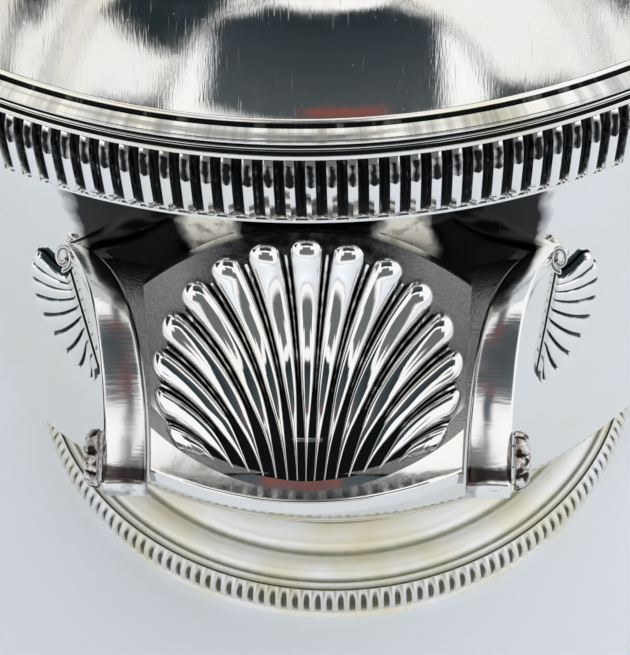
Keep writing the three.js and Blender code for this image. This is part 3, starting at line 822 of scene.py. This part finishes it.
# %% Make a closed skin
def skin(bm, top, under, columns, rows):
    recess_and_painted_shade = bm.verts.layers.float.get("recess_and_painted_shade") or bm.verts.layers.float.new("recess_and_painted_shade")
    ground = bm.verts.layers.float.get("ground") or bm.verts.layers.float.new("ground")
    made = []
    for surface in (top, under):
        grid = bmesh.ops.create_grid(bm, x_segments=columns, y_segments=rows, size=0.5)["verts"]
        for vert in grid:
            vert.co, vert[recess_and_painted_shade], vert[ground] = surface(vert.co.x + 0.5, 0.5 - vert.co.y)
        made += grid
    rim = {edge for vert in made for edge in vert.link_edges if edge.is_boundary}
    bmesh.ops.bridge_loops(bm, edges=list(rim))
    return bm


# %% [markdown]
# ## Shell
# The leaf is the shell's plate. Towards the lip it carries a shallow dish with a crisp front edge, so one row
# of its grid is kept on that edge, which a search by halves finds for each column. Its front is rounded over.
# Around the ribs the leaf is matted ground. The fifteen ribs are a second skin that lies on the leaf: each is
# a finger with a round tip, drawn out to a point at its foot, and between two fingers lies a slim bead.

# %% Shape the leaf
LIP_THICKNESS = 3.6
LEAF_THICKNESS = 2.2
LEAF_COLUMNS = 110
LEAF_ROWS = 120
LIP_ROW = 96 / LEAF_ROWS
FRONT_ROUNDING = 0.25
lip_shares = {}


def lip_share(side):
    """Share of the leaf's length at which the dish's front edge lies."""
    if side not in lip_shares:
        low, high = 0.0, 1.0
        for halving in range(16):
            middle = (low + high) / 2
            if behind_lip(leaf_point(side, middle, 0)) > 0:
                low = middle
            else:
                high = middle
        lip_shares[side] = low
    return lip_shares[side]


def leaf_top(across, along):
    side = 2 * across - 1
    edge = lip_share(side)
    if along <= LIP_ROW:
        along *= edge / LIP_ROW
    else:
        along = edge + (1 - edge) * (along - LIP_ROW) / (1 - LIP_ROW)
    # The dish's front edge is painted dark, a painted shadow, and the middle of the leaf by the arch is
    # painted dark, a painted shade.
    lift, groove = dish(leaf_point(side, along, 0))
    lift -= FRONT_ROUNDING * (1 - math.sqrt(1 - between(along, 0.99, 1.0) ** 2))
    matted = 1 - between(along, 0.55, 0.7)
    matted *= 1 - 0.25 * between(abs(side), 0.45, 0.8)
    arch_painted_shade = 0.75 * (1 - between(along, 0.04, 0.16)) * (1 - between(abs(side), 0.3, 0.7))
    return leaf_point(side, along, lift), max(groove, arch_painted_shade), matted


def leaf_under(across, along):
    thickness = LEAF_THICKNESS + (LIP_THICKNESS - LEAF_THICKNESS) * along ** 4
    return leaf_point(2 * across - 1, along, -thickness), 0, 0


# %% Lay out the ribs
RIBS = 15
RIB_COLUMNS = 16
RIB_ROWS = 34
RIB_SPREAD = 16.9
RIB_BOW = 0.14
RIB_FOOT = 42.4
FAN_WIDTH = 26.4
FAN_LENGTH = 25
FAN_CENTRE = 26
FINGER = 0.41
FINGER_COLUMNS = 0.375
BEAD_MIDDLE = 0.5 / FINGER_COLUMNS


def rib_line(number):
    """Curve from a rib's foot to its tip, as distances across the shell and down from the arch."""
    step = abs(number)
    side = math.copysign(1, number) if number else 0
    angle = math.radians(RIB_SPREAD * step)
    foot = Vector((side * (1.3 * step + 0.12 * step * step), RIB_FOOT - 0.03 * step * step))
    tip = Vector((side * FAN_WIDTH * math.sin(angle), FAN_CENTRE - FAN_LENGTH * math.cos(angle)))
    along = tip - foot
    bow = Vector((along.y, -along.x)) * side * RIB_BOW * min(step / 3, 1)
    return [foot, foot.lerp(tip, 0.5) + bow, tip]


def rib_place(across, along):
    """Rib number, place across the fan in ribs, station from foot to tip, and offset from the crest, which
    is 1 at the edge of the finger and BEAD_MIDDLE at the middle of the bead."""
    column = round(across * RIBS * RIB_COLUMNS)
    rib, within = divmod(column, RIB_COLUMNS)
    within = within / RIB_COLUMNS - 0.5
    number = rib - (RIBS - 1) / 2
    station = 1 - (1 - along) ** 1.6 if along < 1 else 1
    finger = FINGER * (0.2 + 0.8 * between(station, 0, 0.42))
    offset = within / FINGER_COLUMNS
    place = offset * finger if abs(offset) <= 1 else within
    return number, number + place, station, offset


# %% Shape the ribs
RIB_HEIGHT = 1.9
RIB_LEAN = 0.035
RIB_ROOT = 0.8
BEAD_HEIGHT = 0.32
TIP = 0.07


def round_top(offset):
    return math.sqrt(max(1 - offset * offset, 0))


def flat_top(offset):
    return max(1 - abs(offset) ** 3, 0) ** (1 / 3)


def finger_form(number, station, offset):
    """Share of the rib's length, height and recess of a point on a finger."""
    cap = round_top(max((station - 1 + 1.3 * TIP) / (1.3 * TIP), 0))
    lean = 1 - RIB_LEAN * number * offset
    height = (0.45 * round_top(offset) + 0.55 * flat_top(offset)) * cap * lean
    return 1 - TIP * (1 - round_top(offset)), height, 1 - between(round_top(offset), 0.1, 0.6)


def bead_form(station, offset):
    """The same for a point on a bead."""
    middle = 1 - (BEAD_MIDDLE - abs(offset)) / (BEAD_MIDDLE - 1)
    cap = (1 - between(station, 0.86, 1)) * between(station, 0.25, 0.7)
    sunk = 1 - 0.75 * between(middle, 0.5, 1) * between(station, 0.25, 0.6)
    return 1 - 1.15 * TIP, BEAD_HEIGHT * between(middle, 0, 1) * cap, sunk


def ribs_top(across, along):
    number, line, station, offset = rib_place(across, along)
    on_finger = abs(offset) <= 1
    length, height, sunk = finger_form(number, station, offset) if on_finger else bead_form(station, offset)
    swell = 0.12 + 0.88 * between(station, 0, 0.75)
    point = bezier(rib_line(line), station * length)
    return face_point(point.x, point.y, 0.05 + RIB_HEIGHT * swell * height), sunk, 0


def ribs_under(across, along):
    line, station, offset = rib_place(across, along)[1:]
    length = 1 - TIP * (1 - round_top(min(abs(offset), 1)))
    point = bezier(rib_line(line), station * length)
    return face_point(point.x, point.y, -RIB_ROOT), 1, 0


# %% [markdown]
# The ground plate lies under the leaf and fills the space between the arms. Its two ears, where it runs
# back to the wall, are matted like the ground round the ribs, but less dark.

# %% Shape the ground plate
PLATE_REACH = LIP_REACH - 4.5
PLATE_THICKNESS = 2.6
PLATE_START = 0.12
PLATE_MATTING = 0.56
ARM_GAP = 0.4
ARM_OUTSIDE = 33.6
ARM_INSIDE = 26
ARM_FLARE = 10
FLARE_LENGTH = 14
ARM_NARROWING = 15
NARROWING_LENGTH = 13


def arm_outside(reach):
    return ARM_OUTSIDE + ARM_FLARE * math.exp((ARM_ROOT - reach) / FLARE_LENGTH)


def arm_inside(reach):
    return ARM_INSIDE + ARM_NARROWING * math.exp((ARM_ROOT - reach) / NARROWING_LENGTH)


def plate_surface(lift):
    curve = strap_curve(0, PLATE_REACH)

    def surface(across, along):
        point = lifted(curve, PLATE_START + (1 - PLATE_START) * along, lift)
        half = arm_inside(point.x) - ARM_GAP
        return Vector(((2 * across - 1) * half, -point.x, point.y)), 0, PLATE_MATTING
    return surface


# %% Make both shells
from mathutils import Matrix

ENDS = {"front": 0, "back": 1}


def turned_about(bm, half_turns):
    bmesh.ops.rotate(bm, cent=(0, 0, 0), matrix=Matrix.Rotation(math.pi * half_turns, 3, "Z"), verts=bm.verts)
    return bm


for end, half_turns in ENDS.items():
    shell = bmesh.new()
    skin(shell, leaf_top, leaf_under, LEAF_COLUMNS, LEAF_ROWS)
    skin(shell, ribs_top, ribs_under, RIBS * RIB_COLUMNS, RIB_ROWS)
    skin(shell, plate_surface(0), plate_surface(-PLATE_THICKNESS), 60, 50)
    turned_about(shell, half_turns)
    finish_piece(end + "_shell", shell, shell_plate, merge=0.0005)

# %% [markdown]
# ## Arms
# An arm is a flat strap, filed smooth, with a fine bevel along every edge and a slightly crowned face. It
# is easiest to bevel a straight bar, cut it across into short lengths, and then bend it: each point keeps
# its place in the bar's section while the section travels along the strap's curve.

# %% Bend a bevelled bar
ARM_WIDTH = 7.6
ARM_THICKNESS = 3.8
ARM_LENGTH = 62
ARM_CUTS = 56
ARM_CROWN = 0.35
ARM_BEVEL = 0.5
ARM_PROUD = 0.9
STRIPS = 8


def cut(bm, place, normal):
    geometry = bm.verts[:] + bm.edges[:] + bm.faces[:]
    bmesh.ops.bisect_plane(bm, geom=geometry, dist=1e-5, plane_co=place, plane_no=normal)


def bar(width, thickness, length, cuts, bevel):
    bm = bmesh.new()
    bmesh.ops.create_cube(bm, size=1)
    bmesh.ops.scale(bm, vec=(width, length, thickness), verts=bm.verts)
    bmesh.ops.bevel(bm, geom=bm.edges[:], offset=bevel, segments=3, profile=0.5, affect="EDGES", material=-1)
    for number in range(1, cuts):
        cut(bm, (0, length * (number / cuts - 0.5), 0), (0, 1, 0))
    for number in range(1, STRIPS):
        cut(bm, (width * (number / STRIPS - 0.5), 0, 0), (1, 0, 0))
    return bm


def arm_across(x, inside, outside):
    """Where a point of the straight bar lies between the arm's two edges. The bevels keep their width."""
    face = ARM_WIDTH - 2 * ARM_BEVEL
    bevel = abs(x) - face / 2
    if bevel > 0:
        return inside + ARM_BEVEL - bevel if x < 0 else outside - ARM_BEVEL + bevel
    return (inside + outside) / 2 + x * (outside - inside - 2 * ARM_BEVEL) / face


def arm_bar(side):
    curve = strap_curve(ARM_PROUD, ARM_END)
    bm = bar(ARM_WIDTH, ARM_THICKNESS, ARM_LENGTH, ARM_CUTS, ARM_BEVEL)
    for vert in bm.verts:
        t = min(max(vert.co.y / ARM_LENGTH + 0.5, 0), 1)
        depth = ARM_THICKNESS / 2 - vert.co.z
        if depth < 1:
            depth -= ARM_CROWN * (1 - 4 * (vert.co.x / ARM_WIDTH) ** 2)
        reach = bezier(curve, t).x
        x = arm_across(vert.co.x, arm_inside(reach), arm_outside(reach))
        point = lifted(curve, t, -depth)
        vert.co = (side * x, -point.x, point.y)
    return bm


# %% [markdown]
# At the wall the strap ends in a small roll, like the volute of a console. It is the same bar, bent round
# a spiral instead of along the strap, and the spiral leans with the arm.

# %% Roll the end of an arm
SCROLL_RADIUS = 2
SCROLL_WIDTH = 2.4
SCROLL_THICKNESS = 0.9
SCROLL_LENGTH = 16
SCROLL_CUTS = 40
SCROLL_START = -100
SCROLL_SWEEP = 430
SCROLL_TIGHTENING = 1.2
SCROLL_SQUEEZE = 0.8
SCROLL_STRETCH = 1.15
SCROLL_LEAN = math.radians(40)


def roll_bar(side):
    roll_x = arm_outside(ARM_ROOT) - 0.4
    reach = math.sqrt(wall_radius(EAR_Z) ** 2 - roll_x ** 2) + 1.6
    bm = bar(SCROLL_WIDTH, SCROLL_THICKNESS, SCROLL_LENGTH, SCROLL_CUTS, 0.2)
    for vert in bm.verts:
        t = vert.co.y / SCROLL_LENGTH + 0.5
        angle = math.radians(SCROLL_START + SCROLL_SWEEP * t)
        radius = SCROLL_RADIUS - SCROLL_TIGHTENING * t + vert.co.z
        across = SCROLL_SQUEEZE * radius * math.cos(angle)
        rise = SCROLL_STRETCH * radius * math.sin(angle)
        outward = vert.co.x * math.cos(SCROLL_LEAN) - rise * math.sin(SCROLL_LEAN)
        upward = vert.co.x * math.sin(SCROLL_LEAN) + rise * math.cos(SCROLL_LEAN)
        vert.co = (side * (roll_x - across), -(reach + outward), EAR_Z - 3.2 + upward)
    return bm


def joined(*parts):
    whole = bmesh.new()
    for part in parts:
        scratch = bpy.data.meshes.new("scratch")
        part.to_mesh(scratch)
        part.free()
        whole.from_mesh(scratch)
        bpy.data.meshes.remove(scratch)
    return whole


HANDS = {"left": -1, "right": 1}
for end, half_turns in ENDS.items():
    for hand, side in HANDS.items():
        arm = turned_about(joined(arm_bar(side), roll_bar(side)), half_turns)
        finish_piece(f"{end}_{hand}_arm", arm, strap_plate_painted_end)

# %% [markdown]
# ## Bosses
# A cast rosette closes the outer side of each arm's end. Seen from the handle's front it is a rough rim,
# and from the side a flower of eight petals round a button. A turned dome gives its body, and its points
# move in and out with the angle to make the petals.

# %% Finish for the cast rosettes
CAST_SILVER = (0.86, 0.80, 0.75, 1)
CAST_GRIME = (0.05, 0.042, 0.036, 1)


def granulated(name):
    finish, tree, shader, where = new_finish(name)
    grain = noise(tree, where, 700, 5)
    pits = combine(tree, "ADD", attribute(tree, "recess_and_painted_shade"), remap(tree, grain, 0.35, 0.6, 0.75, -0.1))
    dark = remap(tree, pits, 0.2, 0.7)
    tree.links.new(mix(tree, dark, CAST_SILVER, CAST_GRIME), shader.inputs["Base Color"])
    tree.links.new(remap(tree, dark, to_low=0.18, to_high=0.6), shader.inputs["Roughness"])
    tree.links.new(bump(tree, grain, 0.9, 0.9), shader.inputs["Normal"])
    return finish


boss_plate = granulated("granulated_plate")

# %% Make the rosettes
BOSS_RADIUS = 5
BOSS_THICKNESS = 2.7
BOSS_STEPS = 96
BOSS_SETBACK = 6
PETALS = 8
PETAL_NOTCH = 0.1
PETAL_GROOVE = 0.9


def rosette_profile():
    def at(radius, height, rounding):
        return radius * BOSS_RADIUS, height * BOSS_THICKNESS, rounding

    return [(0, 0), (BOSS_RADIUS, 0), (BOSS_RADIUS, 0.9, 0.3), at(0.9, 0.78, 0.6), at(0.62, 0.92, 0.5),
            at(0.42, 0.55, 0.3), at(0.3, 0.95, 0.4), (0, BOSS_THICKNESS)]


def rosette(side):
    bm = turn(outline(rosette_profile(), closed=False), BOSS_STEPS)
    recess_and_painted_shade = bm.verts.layers.float.new("recess_and_painted_shade")
    for vert in bm.verts:
        radius = math.hypot(vert.co.x, vert.co.y)
        petal = abs(math.cos(PETALS / 2 * math.atan2(vert.co.y, vert.co.x)))
        outer = between(radius, 0.4 * BOSS_RADIUS, 0.6 * BOSS_RADIUS) * (1 if vert.co.z > 0.1 else 0)
        notch = outer * (1 - petal) ** 2
        vert.co.x *= 1 - PETAL_NOTCH * notch
        vert.co.y *= 1 - PETAL_NOTCH * notch
        vert.co.z -= PETAL_GROOVE * notch
        vert[recess_and_painted_shade] = notch
    bmesh.ops.rotate(bm, cent=(0, 0, 0), matrix=Matrix.Rotation(side * math.pi / 2, 3, "Y"), verts=bm.verts)
    reach = ARM_END - BOSS_SETBACK
    place = (side * (arm_outside(reach - BOSS_RADIUS) + 0.3), -reach, LIP_Z - 1.2)
    bmesh.ops.translate(bm, vec=place, verts=bm.verts)
    return bm


for end, half_turns in ENDS.items():
    for hand, side in HANDS.items():
        boss = turned_about(rosette(side), half_turns)
        finish_piece(f"{end}_{hand}_boss", boss, boss_plate)

# %% [markdown]
# ## Palmettes
# Half a palmette lies on the wall outside each arm. Its lobes spring from the arm, fan out and hang a
# little. It is laid out in degrees round the axis and millimetres of height, and is one skin whose columns
# follow the lobes, so that every groove is crisp from end to end.

# %% Lay out the palmette
PALMETTE_Z = HEIGHT - 72.5
PALMETTE_INNER = 25.7
PALMETTE_WIDTH = 5.9
PALMETTE_HALF_HEIGHT = 21
PALMETTE_LOBES = 9
PALMETTE_FIRST = 62
PALMETTE_SPREAD = 18.5
PALMETTE_SAG = 1.3
PALMETTE_RELIEF = 1.8
PALMETTE_BASE = 0.3
ROOT_RISE = 12.3
LOBE_COLUMNS = 12
LOBE_ROWS = 24
LOBE_EDGE = 0.44


def palmette_line(number):
    """Curve of a lobe from its root at the arm to its tip, in degrees and millimetres of height."""
    angle = math.radians(PALMETTE_FIRST - PALMETTE_SPREAD * number)
    step = number - 1
    root = Vector((PALMETTE_INNER, PALMETTE_Z + ROOT_RISE - 2.1 * step - 0.2 * step * step))
    tip = Vector((PALMETTE_INNER + 0.3 + max(PALMETTE_WIDTH * math.cos(angle), 0),
                  PALMETTE_Z + PALMETTE_HALF_HEIGHT * math.sin(angle)))
    middle = root.lerp(tip, 0.5)
    middle.y -= 2 * PALMETTE_SAG
    return [root, middle, tip]


def on_wall(side, degrees, z, lift):
    angle = math.radians(degrees)
    radius = wall_radius(z) + lift
    return Vector((side * radius * math.sin(angle), -radius * math.cos(angle), z))


def palmette_surfaces(side):
    def place(across, along):
        column = round(across * PALMETTE_LOBES * LOBE_COLUMNS)
        within = (column % LOBE_COLUMNS) / LOBE_COLUMNS - 0.5
        offset = min(abs(within) / LOBE_EDGE, 1)
        length = 1 - 0.07 * (1 - round_top(offset)) - 0.03 * offset
        return bezier(palmette_line(column / LOBE_COLUMNS), along * length), offset

    def top(across, along):
        point, offset = place(across, along)
        cap = round_top(max((along - 0.86) / 0.14, 0))
        crown = 0.35 + 0.65 * (0.6 * round_top(offset) + 0.4 * flat_top(offset))
        height = PALMETTE_BASE + (PALMETTE_RELIEF - PALMETTE_BASE) * crown * (0.2 + 0.8 * cap)
        return on_wall(side, point.x, point.y, height), between(offset, 0.84, 1), 0

    def under(across, along):
        point = place(across, along)[0]
        return on_wall(side, point.x, point.y, PALMETTE_BASE), 1 if along > 0 else 0.2, 0
    return top, under


# %% Make the palmettes
for end, half_turns in ENDS.items():
    for hand, side in HANDS.items():
        top, under = palmette_surfaces(side)
        palmette = skin(bmesh.new(), top, under, PALMETTE_LOBES * LOBE_COLUMNS, LOBE_ROWS)
        turned_about(palmette, half_turns)
        finish_piece(f"{end}_{hand}_palmette", palmette, leaf_plate, merge=0.0005)

# %% [markdown]
# ## Table and light
# The cooler stands on a pale table in soft daylight. A plain floor carries its shadow. To the camera and in
# the silver the floor glows a little, so that it stays pale in that shadow.

# %% Set the table
FLOOR_COLOUR = (0.785, 0.825, 0.87, 1)
FLOOR_GLOW = 0.09
FLOOR_HALF = 3


def table():
    bm = bmesh.new()
    bmesh.ops.create_grid(bm, x_segments=1, y_segments=1, size=FLOOR_HALF)
    mesh = bpy.data.meshes.new("table_top")
    bm.to_mesh(mesh)
    bm.free()
    finish, tree, shader = new_finish("table_top")[:3]
    for name, value in (("Metallic", 0), ("Base Color", FLOOR_COLOUR), ("Roughness", 0.6),
                        ("Emission Color", FLOOR_COLOUR)):
        shader.inputs[name].default_value = value
    path = add(tree, "ShaderNodeLightPath").outputs
    seen = combine(tree, "ADD", path["Is Camera Ray"], path["Is Glossy Ray"])
    seen = combine(tree, "ADD", seen, path["Is Transmission Ray"], clamp=True)
    tree.links.new(times(tree, seen, FLOOR_GLOW), shader.inputs["Emission Strength"])
    mesh.materials.append(finish)
    floor = bpy.data.objects.new("table_top", mesh)
    bpy.context.scene.collection.objects.link(floor)


table()

# %% [markdown]
# Polished silver shows its surroundings, so they are part of the picture: a bright room, something dark
# above and behind the camera, a dark curtain at the left, shelves and a beam overhead, and one warm strip.
# The sky is built from the direction of each ray. Each patch of it is a box of directions, with a low limit,
# a high limit and a softness along each axis, and the patches are painted over each other in turn.

# %% Light the room
DAYLIGHT = (1.0, 1.0, 1.02, 1)
DEEP_DARK = (0.018, 0.030, 0.036, 1)
DARK_SCREEN = (0.070, 0.085, 0.095, 1)
SHELF_SHADE = (0.16, 0.155, 0.13, 1)
LOW_SHADE = (0.15, 0.16, 0.165, 1)
WARM_EDGE = (0.33, 0.075, 0.05, 1)
CURTAIN_SLANT = -1.38

SCREEN = {"x": (-0.49, 0.545, 0.015), "y": (-2, -0.21, 0.03), "z": (0.07, 2, 0.04)}
SIDE_GAPS = {"sideways": (0.3, 0.7, 0.03), "y": (-0.88, -0.63, 0.015), "z": (0.35, 0.65, 0.015)}
TOP_GAP = {"sideways": (-1, 0.36, 0.03), "y": (-0.82, -0.712, 0.008), "z": (0.57, 0.71, 0.012)}
CURTAIN = {"x": (-2, -0.56, 0.03), "slant": (0.725, 3, 0.025), "z": (0.25, 2, 0.05)}
SHELVES = {"x": (-0.2, 0.03, 0.02), "y": (0.1, 0.7, 0.06)}
POST = {"x": (-0.06, 0.03, 0.02), "y": (0, 0.5, 0.04)}
BEAM = {"x": (-0.1, 0.07, 0.02), "y": (-0.3, 0.0, 0.03)}
WARM_STRIP = {"x": (-0.24, 0.12, 0.02), "y": (-0.3, -0.255, 0.008)}


def patch(tree, axes, limits):
    share = 1
    for axis, (low, high, soft) in limits.items():
        share = times(tree, share, window(tree, axes[axis], low, high, soft))
    return share


def room():
    world = bpy.data.worlds.new("room")
    bpy.context.scene.world = world
    world.use_nodes = True
    tree = world.node_tree
    ray = add(tree, "ShaderNodeTexCoord").outputs["Generated"]
    x, y, z = add(tree, "ShaderNodeSeparateXYZ", {"Vector": ray}).outputs
    slant = combine(tree, "ADD", times(tree, x, CURTAIN_SLANT), y)
    axes = {"x": x, "y": y, "z": z, "sideways": combine(tree, "ABSOLUTE", x), "slant": slant}
    streaks = remap(tree, noise(tree, ray, 1, 2, (60, 2, 0)), 0.42, 0.6, 0.1, 1)
    dark = mix(tree, remap(tree, y, -0.7, -0.3), DEEP_DARK, DARK_SCREEN)
    dark = mix(tree, remap(tree, z, 0.55, 0.64, 1, 0), dark, LOW_SHADE)
    colour = mix(tree, patch(tree, axes, SCREEN), DAYLIGHT, dark)
    layers = ((SIDE_GAPS, 1, DAYLIGHT), (TOP_GAP, 1, DAYLIGHT), (CURTAIN, 1, DEEP_DARK),
              (SHELVES, streaks, SHELF_SHADE), (POST, 0.75, DARK_SCREEN), (BEAM, 1, DARK_SCREEN),
              (WARM_STRIP, 0.6, WARM_EDGE))
    for limits, strength, paint in layers:
        colour = mix(tree, times(tree, patch(tree, axes, limits), strength), colour, paint)
    tree.links.new(colour, tree.nodes["Background"].inputs["Color"])
    print(f"a room with {len(layers) + 1} patches")


room()

# %% [markdown]
# Daylight from a window falls in low, under the handle. It is a broad lamp at the left, behind the camera.
# Only soft surfaces take its light: it is kept out of the mirror images, where its square shape would show.

# %% Light from the window
WINDOW_PLACE = Vector((-0.3, -1.6, 1.15))
WINDOW_WATTS = 13
WINDOW_WIDTH = 1.2


def window_light():
    light = bpy.data.lights.new("window_light", "AREA")
    light.size = WINDOW_WIDTH
    light.energy = WINDOW_WATTS
    lamp = bpy.data.objects.new("window_light", light)
    lamp.location = WINDOW_PLACE
    lamp.rotation_euler = (-WINDOW_PLACE).to_track_quat("-Z", "Y").to_euler()
    lamp.visible_glossy = False
    bpy.context.scene.collection.objects.link(lamp)


window_light()

# %% [markdown]
# ## Camera
# The view is the photograph's: from the front and above, close to the near handle, and slightly turned.
# A long lens keeps the rim's ellipse as flat as it is there.

# %% Place the camera
CAMERA_PLACE = Vector((14.33, -344.35, 449.58)) * MM
CAMERA_YAW = math.radians(-3.193)
CAMERA_PITCH = math.radians(51.38)
CAMERA_ROLL = math.radians(2.265)
CAMERA_LENS = 122.78


def camera():
    forward = Vector((math.sin(CAMERA_YAW) * math.cos(CAMERA_PITCH),
                      math.cos(CAMERA_YAW) * math.cos(CAMERA_PITCH), -math.sin(CAMERA_PITCH)))
    level = Vector((math.cos(CAMERA_YAW), -math.sin(CAMERA_YAW), 0))
    down = forward.cross(level)
    right = math.cos(CAMERA_ROLL) * level + math.sin(CAMERA_ROLL) * down
    up = math.sin(CAMERA_ROLL) * level - math.cos(CAMERA_ROLL) * down
    turned = Matrix((right, up, -forward)).transposed()
    lens = bpy.data.cameras.new("camera")
    lens.lens = CAMERA_LENS
    lens.clip_start = 0.01
    tripod = bpy.data.objects.new("camera", lens)
    tripod.matrix_world = Matrix.Translation(CAMERA_PLACE) @ turned.to_4x4()
    bpy.context.scene.collection.objects.link(tripod)
    bpy.context.scene.camera = tripod


camera()
bpy.context.scene.view_settings.view_transform = "Standard"
